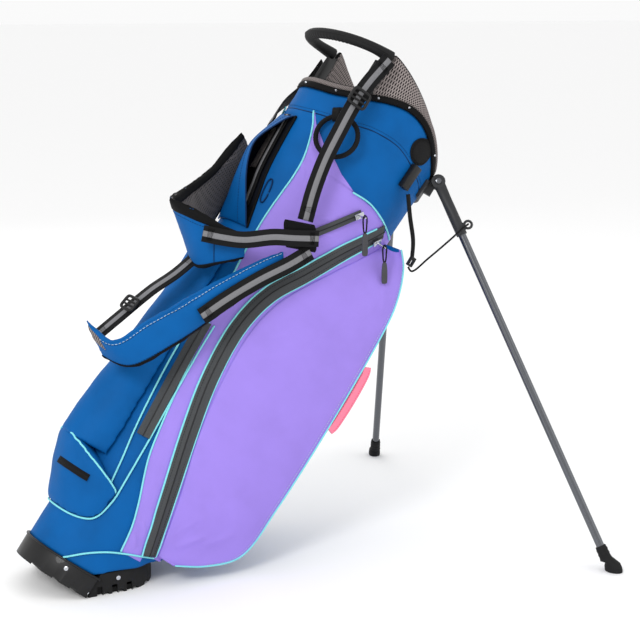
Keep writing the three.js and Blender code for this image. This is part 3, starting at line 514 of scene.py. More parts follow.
def round_section(route, radius, sides):
    """Rings round a route; the radius may change along it, and both ends are rounded over."""
    route = np.asarray(route, float)
    radius = np.broadcast_to(np.asarray(radius, float), len(route)).copy()
    cap = np.array([0.35, 0.75, 0.95])
    tangent = unit(np.gradient(route, axis=0))
    depth = np.sqrt(1 - cap ** 2)
    head = route[0] - tangent[0] * (radius[0] * depth)[:, None]
    tail = (route[-1] + tangent[-1] * (radius[-1] * depth)[:, None])[::-1]
    full = np.vstack([head, route, tail])
    width = np.concatenate([cap * radius[0], radius, (cap * radius[-1])[::-1]])
    _, up, side = frames_along(full)
    return rings_round(full, up, side, width[:, None], sides)


def bundle(name, solids, looks, **where):
    """Several separate closed solids as one piece; each is (points, faces, look index)."""
    points, faces, face_looks, cloth = [], [], [], []
    start = 0
    for solid_points, solid_faces, look in solids:
        turned = outward_faces(solid_points, solid_faces)
        faces += [[start + v for v in face] for face in turned]
        face_looks += [look] * len(turned)
        points.append(solid_points)
        cloth.append(solid_points[:, [0, 2]])
        start += len(solid_points)
    return piece(name, np.vstack(points), faces, looks, face_looks, np.vstack(cloth), **where)


def ring_solid(rings, look=0):
    """Points and faces of a lofted solid, for bundle()."""
    n, corners = rings.shape[:2]
    faces = [[i * corners + k, i * corners + (k + 1) % corners,
              (i + 1) * corners + (k + 1) % corners, (i + 1) * corners + k]
             for i in range(n - 1) for k in range(corners)]
    faces.append(list(range(corners))[::-1])
    faces.append([(n - 1) * corners + k for k in range(corners)])
    return rings.reshape(-1, 3), faces, look


def pipings(name, routes, look="aqua", radius=PIPING, sides=8, **where):
    """Sewn piping along several routes, as one piece."""
    return bundle(name, [ring_solid(round_section(r, radius, sides)) for r in routes], [look], **where)


def stitches(name, routes, look="thread", length=2.6, gap=1.8, radius=0.4, **where):
    """Rows of raised stitches along routes."""
    solids = []
    for route in routes:
        route = np.asarray(route, float)
        run = run_along(route)
        for start in np.arange(0, run[-1] - length, length + gap):
            ends = place_at(run, route, np.array([start, start + length]))
            line = np.array([ends[0], (ends[0] + ends[1]) / 2, ends[1]])
            solids.append(ring_solid(round_section(line, np.array([0.7, 1, 0.7]) * radius, 5)))
    return bundle(name, solids, [look], **where)


# Webbing section: share of the width and of the thickness at each corner, and the face that is the stripe.
WEBBING_SECTION = np.array([(-1, -0.7), (-0.94, -1), (0.94, -1), (1, -0.7), (1, 0.7), (0.94, 1),
                            (0.36, 1), (0.34, 1.25), (-0.34, 1.25), (-0.36, 1), (-0.94, 1), (-1, 0.7)])
STRIPE_FACE = 7


def webbing_rings(at, facing, width, thick):
    tangent = unit(np.gradient(at, axis=0))
    out = unit(facing - np.sum(facing * tangent, axis=-1, keepdims=True) * tangent)
    across = np.cross(tangent, out)
    w = WEBBING_SECTION[:, 0, None] * width / 2
    t = WEBBING_SECTION[:, 1, None] * thick / 2
    return at[:, None] + across[:, None] * w + out[:, None] * t


def webbing(name, at, facing, width=STRAP_WIDTH, thick=STRAP_THICK, striped=True, look="webbing", **where):
    """A strap along points, each with the direction its face looks in, and a woven stripe down the middle."""
    at = np.asarray(at, float)
    facing = np.broadcast_to(np.asarray(facing, float), at.shape)
    face_look = [1 if striped and k == STRIPE_FACE else 0 for k in range(len(WEBBING_SECTION))]
    return loft(name, webbing_rings(at, facing, width, thick), [look, "stripe"], face_look, **where)


def dress(node, look, bevel):
    """Gives a CAD node its material, softened edges and smooth rounds."""
    target = frame["nodes"][node]
    target.data.materials.clear()
    target.data.materials.append(M[look])
    target.data.polygons.foreach_set("use_smooth", np.ones(len(target.data.polygons), bool))
    weld = target.modifiers.new("weld", "WELD")
    weld.merge_threshold = 0.00001
    if bevel:
        edge = target.modifiers.new("edge", "BEVEL")
        edge.width = bevel * MM
        edge.segments = 2
        edge.limit_method = "ANGLE"
        edge.angle_limit = math.radians(40)
        edge.harden_normals = False
    split = target.modifiers.new("split", "EDGE_SPLIT")
    split.split_angle = math.radians(34)


# ---------------------------------------------------------------- tube, cuff and base cloth
SEAM = [(-200, 815), (-165, 814), (-150, 818), (-128, 826), (-108, 838), (-88, 841), (-65, 830), (-35, 816),
        (0, 812)]


def seam_height(angle):
    """The stitched seam below the cuff, the same on both sides."""
    turn = -np.abs((np.degrees(angle) + 180) % 360 - 180)
    return profile(SEAM, turn)


def hem_height(angle):
    """Lower edge of the tube's cloth: level with the base at the spine, with the foot at the belly."""
    x = on_tube(SHELL_HEM, angle)[..., 0]
    wedge = (FLOOR_CLEARANCE + x * math.sin(LEAN)) / math.cos(LEAN)
    return np.maximum(SHELL_HEM, wedge * np.where(x > 0, 1.03, 1.0))


def tube_relief(angle, z):
    """How far the tube's cloth stands off its round form."""
    p = on_tube(z, angle)
    lift = 0.9 * ripple(p * [1, 1, 0.5], 70, 3) + 0.5 * ripple(p, 34, 8)
    drape = 1 - ease(z, 60, 190)
    slant = np.sin((p[..., 0] * 0.5 + z) / 11.0 + 2.0 * ripple(p, 120, 5))
    lift += 2.6 * drape * slant * ease(p[..., 0], -40, 40)
    cuff = seam_height(angle)
    lift -= 1.3 * bump_at(z, cuff, 2.2)
    lift += 0.8 * bump_at(z, cuff - 6, 5)
    return lift * ease(z, SHELL_HEM, SHELL_HEM + 12)


def tube_cloth():
    turns, levels = 220, 190
    angle = full_turn(turns)[:, None]
    share = np.linspace(0, 1, levels)[None, :]
    low, high = hem_height(angle), rim(angle) - 5
    z = low + (high - low) * share
    outer = on_tube(z, angle, tube_relief(angle, z))
    inner = on_tube(z, angle, -FABRIC)[:, ::8]
    rings = np.concatenate([outer, inner[:, ::-1]], axis=1)
    look = [0] * (levels - 1) + [1] * (inner.shape[1] + 1)
    hoop("tube_cloth", rings, ["blue", "lining"], look, replaces=["body_shell"])


def laid(line, lift, side=RIGHT):
    """(x, z) points laid on the side of the round tube."""
    return on_tube(line[:, 1], angle_at(line[:, 1], line[:, 0], side), lift)


def side_line(points, lift, count=80):
    """A route on the tube's right side through (x, z) points, riding on its cloth."""
    line = smooth(points, count)
    angle = angle_at(line[:, 1], line[:, 0])
    return on_tube(line[:, 1], angle, lift + tube_relief(angle, line[:, 1]) * 0.6)


PANEL_EDGE = [(3, 85), (-2, 124), (-11, 156), (-33, 224), (-42, 280), (-50, 354), (-60, 480), (-67, 626),
              (-64, 740), (-74, 795), (-81, 818)]
PANEL_TOP = [(-80, 818), (-72, 800), (-52, 778), (-34, 769), (-11, 753), (20, 740), (53, 741), (88, 735),
             (104, 731)]
ZIP_MAIN = [(49, 98), (22, 193), (-4, 296), (-19, 380), (-22, 470), (-8, 535), (24, 592), (62, 655),
            (112, 722)]
HEM_LINE = [(-59, 34), (-39, 55), (-14, 73), (19, 87), (60, 98)]
PANEL_FOLDS = [((-28, 650), (40, 668)), ((-20, 640), (36, 652)), ((-30, 668), (20, 690)),
               ((-26, 626), (26, 634)), ((-20, 612), (14, 612)), ((-70, 770), (-40, 740)),
               ((-72, 750), (-50, 716)), ((8, 140), (26, 118)), ((4, 120), (20, 98))]
ZIP_UPPER = [(1, 652), (26, 687), (50, 720)]
ZIP_SPINE = [(-54, 250), (-58, 330), (-61, 410), (-62, 448)]
SPINE_PIPING = ([(-57, 160), (-61, 205), (-66, 250), (-72, 338), (-74, 410), (-75, 448)],
                [(-43, 151), (-44, 205), (-45, 250), (-48, 338), (-50, 410), (-50, 448)])
ZIP_HALF = 12.5


def offset_line(points, aside, count=120):
    """The (x, z) line moved sideways on the tube's surface; positive is towards the belly."""
    line = smooth(points, count)
    d = unit(np.gradient(line, axis=0))
    slope = np.abs(np.sin(angle_at(line[:, 1], line[:, 0])))
    return np.stack([line[:, 0] + aside * d[:, 1] * slope, line[:, 1] - aside * d[:, 0]], axis=-1)


def purple_cloth(name, z, left, right, columns, lift, thick, folds=()):
    """Purple cloth sewn on the tube's right side; left and right give its edges' x at each z."""
    share = np.linspace(0, 1, columns)[None, :]
    x = left[:, None] + np.maximum(right - left, 0.6)[:, None] * share
    z = np.broadcast_to(z[:, None], x.shape)
    angle = angle_at(z, x)
    rise = lift + tube_relief(angle, z) * 0.6
    for i, (start, end) in enumerate(folds):
        rise += fold(x, z, start, end, 3.0 + (i % 3), 1.8)
    slab(name, on_tube(z, angle, rise), on_tube(z, angle, rise - thick), ["purple"])


def side_panel():
    """The purple cloth between the spine side and the big zip."""
    z = np.linspace(84, 818, 260)
    edge = smooth(PANEL_EDGE, 200)
    zip_line = offset_line(ZIP_MAIN, -ZIP_HALF + 3, 200)
    top = np.array(PANEL_TOP[::-1])
    left = np.interp(z, edge[:, 1], edge[:, 0])
    right = np.where(z < 731, np.interp(z, zip_line[:, 1], zip_line[:, 0]),
                     np.interp(z, np.maximum.accumulate(top[:, 1]), top[:, 0]))
    purple_cloth("side_panel", z, left, right, 60, 1.3, 1.6, PANEL_FOLDS)


def panel_margin():
    """Purple cloth between the big zip and the pocket sewn beside it."""
    z = np.linspace(97, 728, 200)
    zip_line = offset_line(ZIP_MAIN, ZIP_HALF - 3, 200)
    left = np.interp(z, zip_line[:, 1], zip_line[:, 0])
    purple_cloth("side_panel_margin", z, left, profile(ZIP_EDGE, z) + 9, 14, 2.3, 1.4)


COIL_RADIUS, COIL_LIFT, COIL_PITCH = 1.3, 0.9, 1.1


def zip_tape(name, points, half, node, side=RIGHT, lift=3.4, plain=False):
    """Woven tape with the closed coil down its middle; a plain tape shows no stitching."""
    line = smooth(points, 160)
    facing = outward(angle_at(line[:, 1], line[:, 0], side))
    replaces = [node] if node else []
    webbing(name, laid(line, lift, side), facing, half * 2, 1.6, striped=False, look="tape",
            replaces=replaces)
    route = laid(line, lift + COIL_LIFT, side)
    route = smooth(route, int(run_along(route)[-1] / COIL_PITCH))
    teeth = COIL_RADIUS * (0.8 + 0.2 * (np.arange(len(route)) % 2))
    loft(name + "_coil", round_section(route, teeth, 8), ["coil"])
    if not plain:
        rows = [laid(offset_line(points, aside * half * 0.62), lift + COIL_LIFT, side) for aside in (-1, 1)]
        stitches(name + "_stitching", rows, "black_thread", slot="zip_tape")


# ---------------------------------------------------------------- side pockets
ZIP_EDGE = [(100, 66), (190, 42), (290, 13), (382, -1), (470, -3), (535, 12), (616, 62), (703, 132),
            (716, 142)]
BELLY_EDGE = [(100, 74), (130, 138), (168, 180), (262, 192), (489, 197), (634, 189), (690, 170), (716, 146)]
POCKET_FOLDS = [((78, 128), (108, 168), 5, 1.8), ((64, 140), (84, 190), 4, 1.3),
                ((20, 480), (60, 520), 6, 1.4), ((10, 440), (44, 486), 5, 1.2),
                ((110, 150), (150, 196), 6, 1.2), ((150, 660), (176, 600), 6, 1.0)]
POCKET_BOTTOM, POCKET_TOP = 104, 712
POCKET_EDGE_Y, POCKET_BULGE = 112, 15
GUSSET_ANGLE, GUSSET_START = math.radians(54), 0.62


def pocket_edge(z, side, lift=0.0):
    y = POCKET_EDGE_Y - 8 * ease(z, 610, POCKET_TOP)
    return points_of(profile(BELLY_EDGE, z) + lift * 0.4, side * (y + lift), z)


def pocket_face(z, v, side):
    """Outer face of the big pocket: v runs from the zip to the free edge over the belly."""
    start_angle = angle_at(z, profile(ZIP_EDGE, z), side)
    start = on_tube(z, start_angle, 4)
    edge = pocket_edge(z, side)
    swell = POCKET_BULGE * ease(z, POCKET_BOTTOM, 230) * (1 - ease(z, 520, 690))
    y = start[..., 1] * side + (edge[..., 1] * side - start[..., 1] * side) * v
    y = y + swell * np.sin(math.pi * v) ** 0.8
    x = start[..., 0] + (edge[..., 0] - start[..., 0]) * v
    p = points_of(x, side * y, z)
    inside = np.sin(math.pi * np.clip(v, 0, 1)) ** 0.6
    wave = 0.9 * ripple(p * [1, 1, 0.6], 90, 21) + 0.35 * ripple(p, 30, 22)
    for start_at, end_at, width, height in POCKET_FOLDS:
        wave = wave + fold(x, z, start_at, end_at, width, height)
    p[..., 1] += side * wave * inside
    return p


def side_pocket(side, word, look):
    z = np.linspace(POCKET_BOTTOM, POCKET_TOP, 200)[:, None]
    v = np.linspace(0, 1, 70)[None, :]
    outer = pocket_face(np.broadcast_to(z, (200, 70)), np.broadcast_to(v, (200, 70)), side)
    turn = np.clip(v / GUSSET_START, 0, 1)
    zip_angle = np.abs(angle_at(z, profile(ZIP_EDGE, z), side))
    gusset = np.minimum(GUSSET_ANGLE, zip_angle - 0.02)
    wall = on_tube(z, side * (zip_angle + (gusset - zip_angle) * turn), 1.4)
    free = np.clip((v - GUSSET_START) / (1 - GUSSET_START), 0, 1)[..., None]
    rim_line = pocket_edge(z, side, -5)
    inner = wall + (rim_line - wall) * free
    tuck = np.sin(math.pi * free) * (2.2 + 1.5 * ripple(inner, 60, 31)[..., None])
    inner = inner - tuck * np.array([0.9, 0, 0])
    slab(f"side_pocket_{word}", outer, inner, [look, "blue"], inner_look=1,
         replaces=[f"apparel_pocket_{word}"])
    edge = np.linspace(POCKET_BOTTOM + 2, POCKET_TOP, 160)
    route = pocket_edge(edge, side, 0.4)
    seam = pocket_face(edge, np.full(len(edge), 0.965), side) + [0, side * 0.5, 0]
    pipings(f"side_pocket_{word}_piping", [route], radius=1.4)
    thread = "pale_thread" if side == RIGHT else "thread"
    stitches(f"side_pocket_{word}_stitching", [seam], thread, radius=0.3)


def side_pipings():
    """Aqua piping along the zips, the purple panel and the hem, on the right side."""
    zips = [(ZIP_MAIN, -ZIP_HALF - 0.6), (ZIP_MAIN, ZIP_HALF + 0.6)]
    routes = [side_line(offset_line(points, aside)[::4], 3.4) for points, aside in zips]
    routes.append(side_line(PANEL_EDGE, 2.4, 160))
    routes.append(side_line([(20, 739), (53, 741), (88, 735), (112, 729), (140, 722)], 3.4))
    routes += [side_line(points, 3.2) for points in SPINE_PIPING]
    routes.append(side_line(HEM_LINE, 2.6))
    pipings("side_piping_right", routes)


def left_details():
    """The far side: the same seams and big zip, without the purple cloth."""
    lines = [offset_line(ZIP_MAIN, aside) for aside in (-ZIP_HALF - 0.6, ZIP_HALF + 0.6)]
    lines += [smooth(PANEL_EDGE, 160), smooth(HEM_LINE, 60)]
    pipings("side_piping_left", [laid(line, 3.0, LEFT) for line in lines])
    zip_tape("zip_tape_left", ZIP_MAIN, ZIP_HALF, None, side=LEFT)


# ---------------------------------------------------------------- spine pockets
def spine_surface(offset, z, lift):
    return on_tube(z, math.pi + offset, lift)


BALL_HALF = math.radians(55)


def ball_low(share):
    return 92 + 20 * share ** 4 + 34 * share ** 24


def ball_high(share):
    return 203 - 46 * share ** 1.5


def ball_lift(z, share):
    up = np.clip((z - ball_low(share)) / (ball_high(share) - ball_low(share)), 0, 1)
    return 3 + 45 * up ** 0.75 * np.cos(share * math.pi / 2) ** 0.8


def spine_pouch(name, half, low, high, lift, rows, columns, seed, looks, **where):
    """A pouch wrapped round the spine; low and high give its edges at each share of its half angle."""
    offset = half * np.sin(np.linspace(-math.pi / 2, math.pi / 2, columns))[:, None]
    v = np.linspace(0, 1, rows)[None, :]
    share = np.abs(offset) / half
    z = low(share) + (high(share) - low(share)) * v
    base = spine_surface(offset, z, 0)
    slack = 1.3 * ripple(base, 55, seed) + 0.6 * ripple(base, 24, seed + 1)
    proud = lift(z, np.broadcast_to(share, z.shape))
    outer = spine_surface(offset, z, proud + slack * ease(proud, 3, 12))
    inner = spine_surface(offset, z, 1.0)
    return slab(name, outer, inner, looks, **where)


def swell(obj, voxel, pressure, cap, frames=20):
    """Cloth simulation of a stuffed piece: it is remeshed, inflated under a limit, and smoothed."""
    bpy.context.view_layer.objects.active = obj
    for other in bpy.context.selected_objects:
        other.select_set(False)
    obj.select_set(True)
    remesh = obj.modifiers.new("remesh", "REMESH")
    remesh.mode = "VOXEL"
    remesh.voxel_size = voxel * MM
    remesh.use_smooth_shade = True
    bpy.ops.object.modifier_apply(modifier=remesh.name)
    soften = obj.modifiers.new("soften", "SMOOTH")
    soften.factor, soften.iterations = 0.5, 3
    bpy.ops.object.modifier_apply(modifier=soften.name)
    rest = np.array([v.co for v in obj.data.vertices])
    cloth = obj.modifiers.new("cloth", "CLOTH")
    cloth.settings.quality = 5
    cloth.settings.use_pressure = True
    cloth.settings.uniform_pressure_force = pressure
    cloth.settings.effector_weights.gravity = 0
    cloth.settings.tension_stiffness = 25
    cloth.settings.bending_stiffness = 1.5
    cloth.point_cache.frame_start, cloth.point_cache.frame_end = 1, frames
    for step in range(1, frames + 1):
        bpy.context.scene.frame_set(step)
    evaluated = obj.evaluated_get(bpy.context.evaluated_depsgraph_get())
    now = np.array([v.co for v in evaluated.data.vertices])
    obj.modifiers.remove(cloth)
    bpy.context.scene.frame_set(1)
    move = now - rest
    length = np.maximum(np.linalg.norm(move, axis=1, keepdims=True), 1e-9)
    rest = rest + move * np.minimum(1, cap * MM / length)
    obj.data.vertices.foreach_set("co", rest.ravel())
    obj.data.update()
    finer = obj.modifiers.new("finer", "SUBSURF")
    finer.levels = finer.render_levels = 1
    bpy.ops.object.modifier_apply(modifier=finer.name)
    obj.data.polygons.foreach_set("use_smooth", np.ones(len(obj.data.polygons), bool))


def on_surface(route, obj, lift):
    """The route moved onto the nearest place of a piece's surface, raised by the lift."""
    tree = BVHTree.FromObject(obj, bpy.context.evaluated_depsgraph_get())
    found = []
    for p in in_row_frame(route):
        place, normal, _, _ = tree.find_nearest(Vector(p))
        found.append(np.array(place + normal * lift * MM))
    back = np.array(BAG.inverted())
    return np.array(found) @ back[:3, :3].T + back[:3, 3]


def ball_pocket():
    pouch = spine_pouch("ball_pouch", BALL_HALF, ball_low, ball_high, ball_lift, 50, 90, 41, ["blue_soft"],
                        replaces=["ball_pocket"])
    swell(pouch, 4.0, 3.0, 5.0)
    offset = BALL_HALF * np.sin(np.linspace(-math.pi / 2, math.pi / 2, 160))
    share = np.abs(offset) / BALL_HALF
    top = spine_surface(offset, ball_high(share), ball_lift(ball_high(share), share))
    low = spine_surface(offset, ball_low(share), 2.6)
    low = smooth(np.vstack([low, spine_surface(offset[-1:], np.array([166.0]), 2.6)]), 160)
    pipings("ball_pouch_piping", [on_surface(top, pouch, 0.6), low], radius=1.5)
    across = np.radians(np.linspace(4, 34, 30))
    line = spine_surface(across, np.full(30, 155), ball_lift(155, across / BALL_HALF) + 2)
    line = on_surface(line, pouch, 1.4)
    webbing("ball_pouch_tab", line, outward(math.pi + across), 11, 1.8, striped=False,
            replaces=["ball_pocket_tab"])


def spine_pocket():
    half = math.radians(31)

    def lift(z, share):
        return 3 + (44 - 30 * ease(z, 180, 520)) * np.cos(share * math.pi / 2) ** 0.7

    pouch = spine_pouch("spine_pouch", half, lambda s: 196 + 0 * s, lambda s: 590 + 0 * s, lift, 120, 50, 51,
                        ["blue_soft"], replaces=["spine_pocket"])
    swell(pouch, 5.0, 3.0, 4.0)


FLAP_EDGE = [(606, -151), (650, -158), (700, -168), (735, -173), (775, -171), (800, -169)]
FLAP_FAR = math.radians(-206)
FLAP_LOW, FLAP_HIGH = 606, 800
MOUTH_EDGE = [(606, -151), (661, -158), (700, -163), (743, -165.7), (800, -168)]


def flap_point(u, v, lift):
    """The flap from its free edge (u = 0) to the seam on the far side of the spine."""
    z = FLAP_LOW + (FLAP_HIGH - FLAP_LOW) * v
    near = rad(profile(FLAP_EDGE, z))
    angle = near + (FLAP_FAR - near) * u
    stand = 36 * np.sin(math.pi * np.clip(v, 0, 1)) ** 0.8 * (1 - u) ** 0.8
    wave = 1.4 * ripple(on_tube(z, angle), 50, 61) * ease(stand, 2, 10)
    return on_tube(z, angle, 1.2 + stand + lift + wave)


def mouth_point(z, aside, lift):
    """A place in the pocket's mouth, that many degrees behind its front edge."""
    return on_tube(z, rad(profile(MOUTH_EDGE, z) - aside), lift)


def pocket_flap():
    """Upper spine pocket gaping on the right side: hemmed flap, dark inside, inner strap and mesh."""
    v = np.linspace(0, 1, 120)[:, None]
    u = np.linspace(0, 1, 50)[None, :]
    outer, inner = flap_point(u, v, 2.6), flap_point(u, v, 0.4)
    slab("pocket_flap_cloth", outer, inner, ["blue", "lining"], inner_look=1, replaces=["pocket_flap"])
    along = np.linspace(0.01, 0.99, 120)
    pipings("pocket_flap_edge", [flap_point(0.0, along, 1.6)], look="thread", radius=1.2)
    stitches("pocket_flap_stitching", [flap_point(0.16, along, 2.9)], "thread")
    z = np.linspace(608, 799, 90)[:, None]
    aside = np.linspace(0, 38, 30)[None, :]
    slab("flap_wall", mouth_point(z, aside, 1.6), mouth_point(z, aside, 0.2), ["lining"])
    strap_z = np.linspace(636, 798, 60)
    strap_angle = rad(profile(MOUTH_EDGE, strap_z) - 8)
    webbing("flap_inner_strap", on_tube(strap_z, strap_angle, 6.5), outward(strap_angle), 17, 2.0)
    pipings("flap_inner_edge", [mouth_point(z[:, 0], 0.0, 2.2)], look="binding", radius=2.4)
    net_z = np.linspace(700, 775, 26)[:, None]
    net = np.linspace(15, 30, 14)[None, :]
    slab("flap_mesh", mouth_point(net_z, net, 4.5), mouth_point(net_z, net, 3.2), ["mesh"])


def buttonhole():
    """Stitched oval slot beside the flap."""
    turn = np.linspace(0, 2 * math.pi, 60)
    rise = 20 * squared(np.sin(turn), 0.7)
    z = 672 + rise
    angle = math.radians(-153.5) + math.radians(2.6) * np.cos(turn) - rise * 0.0012
    route = on_tube(z, angle, 1.6 + tube_relief(angle, z))
    pipings("buttonhole_rim", [route[:-1]], look="thread", radius=1.1)


# ---------------------------------------------------------------- cuff, collar and handle
HANDLE_Z, HANDLE_RADIUS = 950, 8


def cuff_seam():
    """Sunk seam round the foot of the cuff, with its row of stitches just above."""
    angle = np.linspace(0, 2 * math.pi, 400)
    level = seam_height(angle)
    line = on_tube(level, angle, tube_relief(angle, level) + 0.4)
    pipings("cuff_seam", [line], look="thread", radius=0.9)
    row = on_tube(level + 5, angle, tube_relief(angle, level + 5) + 0.3)
    stitches("cuff_seam_stitching", [row], "thread", radius=0.35)


RIVET_ANGLES = (-147, -118, -97, -55, -15, 15, 55, 97, 118, 147, 180)


def cuff_binding():
    angle = full_turn(240)
    level = rim(angle)
    section_points = [(-5, BINDING_LIFT - 0.8), (-4, BINDING_LIFT), (1, BINDING_LIFT + 0.5),
                      (4, BINDING_LIFT), (5.2, BINDING_LIFT - 2.5), (5.4, -3), (4.2, -8), (-4, -9), (-5, -8),
                      (-5, -2)]
    rings = np.stack([on_tube(level + dz, angle, lift) for dz, lift in section_points], axis=1)
    hoop("rim_binding", rings, ["binding"], replaces=["cuff_binding"])
    rows = [on_tube(rim(angle) - 3.6, angle, BINDING_LIFT + 0.1)]
    stitches("rim_stitching", rows, "black_thread", radius=0.35)
    heads = []
    for turn in rad(RIVET_ANGLES):
        centre = on_tube(rim(turn) + 0.5, turn, BINDING_LIFT + 0.4)
        line = np.array([centre + outward(turn) * reach for reach in (0, 0.6, 1.0)])
        heads.append(ring_solid(round_section(line, np.array([2.2, 2.0, 1.3]), 12)))
    bundle("rim_rivets", heads, ["steel"])


POST_X = (-54, -31)                                  # across the moulded post at each end of the handle


def collar_top(angle):
    x = on_tube(rim(angle), angle)[..., 0]
    ear = EAR_PEAK - EAR_DROP * np.clip((x - POST_X[1]) / EAR_LENGTH, 0, 1) ** 1.15
    low = rim(angle) + 14
    return np.where(x < POST_X[1] - 4, low, np.maximum(ear, low))


def collar():
    """Padded mesh collar with an ear beside each end of the handle, bound along its top."""
    edge = math.acos((POST_X[1] - section(880)[0]) / section(880)[1])
    behind = np.linspace(edge + 0.03, 2 * math.pi - edge - 0.03, 70)
    turns = np.concatenate([np.linspace(-edge, edge, 150), behind])
    low, high = rim(turns) + 4.5, collar_top(turns) - 1
    rings = []
    stations = 12
    for k in range(stations):
        share = k / (stations - 1)
        puff = 3.2 * math.sin(math.pi * share) ** 0.6
        rings.append(on_tube(low + (high - low) * share, turns, 0.5 + puff))
    for k in range(stations):
        share = 1 - k / (stations - 1)
        rings.append(on_tube(low + (high - low) * share, turns, -7 - 1.2 * math.sin(math.pi * share) ** 0.6))
    rings = np.stack(rings, axis=1)
    hoop("collar_mesh", rings, ["mesh"], replaces=["cuff_collar"])
    top = on_tube(high, turns, -3)
    closed = np.vstack([top, top[:1]])
    loft("collar_edge", round_section(smooth(closed, 420), 2.3, 8), ["binding"])


def handle_post(side, word):
    """Moulded post on the rim that holds the handle's end: rounded, with a raised rib down its middle."""
    u = np.linspace(0, 1, 24)[:, None]
    v = np.linspace(0, 1, 60)[None, :]
    x = POST_X[0] + (POST_X[1] - POST_X[0]) * u
    angle = angle_at(880, x, side)
    low = rim(angle) + 3
    high = HANDLE_Z - HANDLE_RADIUS - 5.5 + (EAR_PEAK - 4 - HANDLE_Z + HANDLE_RADIUS + 5.5) * u ** 2
    z = low + (high - low) * v
    edge = (np.sin(math.pi * u) ** 0.35) * (np.sin(math.pi * np.clip(v, 0.02, 0.98)) ** 0.2)
    rib = 1.6 * bump_at(u, 0.5, 0.2) * ease(v, 0.1, 0.2)
    outer = on_tube(z, angle, -1 + 5.2 * edge + rib * edge)
    inner = on_tube(z, angle, -3 - 5 * edge)
    slab(f"post_{word}", outer, inner, ["plastic"], replaces=[f"handle_post_{word}"])


HANDLE_REACH, HANDLE_DROOP = 82, 13
HANDLE_FOOT = (-40, 94)


def carry_handle():
    """Moulded grip: a soft oval bar with a ribbed underside, thicker where it meets the posts."""
    turn = np.linspace(0, math.pi, 13)
    route = points_of(HANDLE_FOOT[0] - HANDLE_REACH * np.sin(turn) ** 0.8, -HANDLE_FOOT[1] * np.cos(turn),
                      HANDLE_Z - HANDLE_DROOP * np.sin(turn))
    route = smooth(route, 150)
    _, up, side = frames_along(route)
    sides = 28
    around = full_turn(sides)
    share = np.linspace(0, 1, len(route))
    girth = 9.0 + 1.8 * (bump_at(share, 0.0, 0.07) + bump_at(share, 1.0, 0.07))
    under = np.clip(-np.cos(around), 0, 1)[None, :]
    ribs = 0.5 * np.sin(np.arange(len(route)) * 1.6)[:, None] * under * ease(share, 0.2, 0.3)[:, None] \
        * (1 - ease(share, 0.7, 0.8))[:, None]
    rings = rings_round(route, up * 0.92, side * 1.04, girth[:, None] + ribs, sides)
    loft("handle_grip", rings, ["rubber"], replaces=["carry_handle"])
    seam = route - side * (girth * 1.04)[:, None]
    pipings("handle_seam", [seam[6:-6]], look="rubber", radius=0.8)


# ---------------------------------------------------------------- shoulder straps
PAD_THICK = 13
PAD_CLEAR = 7                                        # from the pad's middle surface to clear of its faces
UPPER_PAD = (
    [(-126, 45, 746), (-158, 20, 656), (-194, -15, 600), (-212, -45, 577), (-198, -76, 579), (-172, -98, 581),
     (-141, -110, 582), (-108, -113, 588)],
    [(-82, 50, 722), (-85, 48, 668), (-92, 36, 614), (-104, 4, 562), (-122, -38, 520), (-121, -74, 508),
     (-114, -98, 522), (-100, -110, 540), (-82, -113, 558)])
LOWER_PAD = (
    [(-223, -40, 355), (-190, -92, 349), (-172, -114, 398), (-145, -122, 449), (-116, -126, 502),
     (-76, -127, 562), (-44, -127, 600)],
    [(-168, -52, 321), (-140, -100, 331), (-110, -120, 384), (-76, -126, 458), (-47, -127, 521),
     (-26, -127, 578)])


def pad_guide(edges, stations=120, across=36):
    """Middle surface of a pad from its top edge to its bottom edge, and the direction its face looks in."""
    top, bottom = smooth(edges[0], stations), smooth(edges[1], stations)
    share = np.linspace(0, 1, across)[None, :, None]
    middle = top[:, None] + (bottom - top)[:, None] * share
    facing = normals_of(middle)
    if facing[int(stations * 0.8), across // 2].dot([-0.3, -1, 0]) < 0:
        facing = -facing
    return middle, facing


def shoulder_pad(name, edges, node, seed):
    """A stuffed pad: blue outside, dark mesh inside, swollen by cloth simulation."""
    middle, facing = pad_guide(edges)
    share = np.linspace(0, 1, middle.shape[1])[None, :, None]
    along = np.linspace(0, 1, middle.shape[0])[:, None, None]
    crown = 0.32 + 0.68 * np.sin(math.pi * share) ** 0.5
    ends = 0.55 + 0.45 * ease(np.minimum(along, 1 - along), 0, 0.08)
    half = PAD_THICK / 2 * crown * ends * 0.86
    wave = ripple(middle, 60, seed)[..., None] * 0.8
    outer, inner = middle + facing * (half + wave), middle - facing * (half - wave)
    pad = slab(name, outer, inner, ["blue_soft", "dark_mesh"], replaces=[node])
    swell(pad, 4.0, 4.0, 3.5)
    paint_inside(pad, middle, facing)
    return pad, middle, facing


def paint_inside(pad, middle, facing):
    """The faces that look away from the guide's facing take the pad's second material."""
    mesh = pad.data
    if len(mesh.materials) < 2:
        mesh.materials.append(M["dark_mesh"])
    tree = KDTree(middle.shape[0] * middle.shape[1])
    guide = in_row_frame(middle.reshape(-1, 3))
    for i, p in enumerate(guide):
        tree.insert(p, i)
    tree.balance()
    turn = np.array(BAG)[:3, :3] / MM
    looking = facing.reshape(-1, 3) @ turn.T
    inside = [float(np.dot(f.normal, looking[tree.find(f.center)[1]]) < -0.2) for f in mesh.polygons]
    mesh.polygons.foreach_set("material_index", np.array(inside, np.int32))
    mesh.update()


def wrap_band(name, pad, lines, lift=0.8, look="binding"):
    """Binding folded over an edge: lines run along the edge, from one face round to the other."""
    top = np.stack([on_surface(line, pad, lift) for line in lines], axis=1)
    below = np.stack([on_surface(line, pad, -0.9) for line in lines], axis=1)[:, ::-1]
    loft(name, np.concatenate([top, below], axis=1), [look])


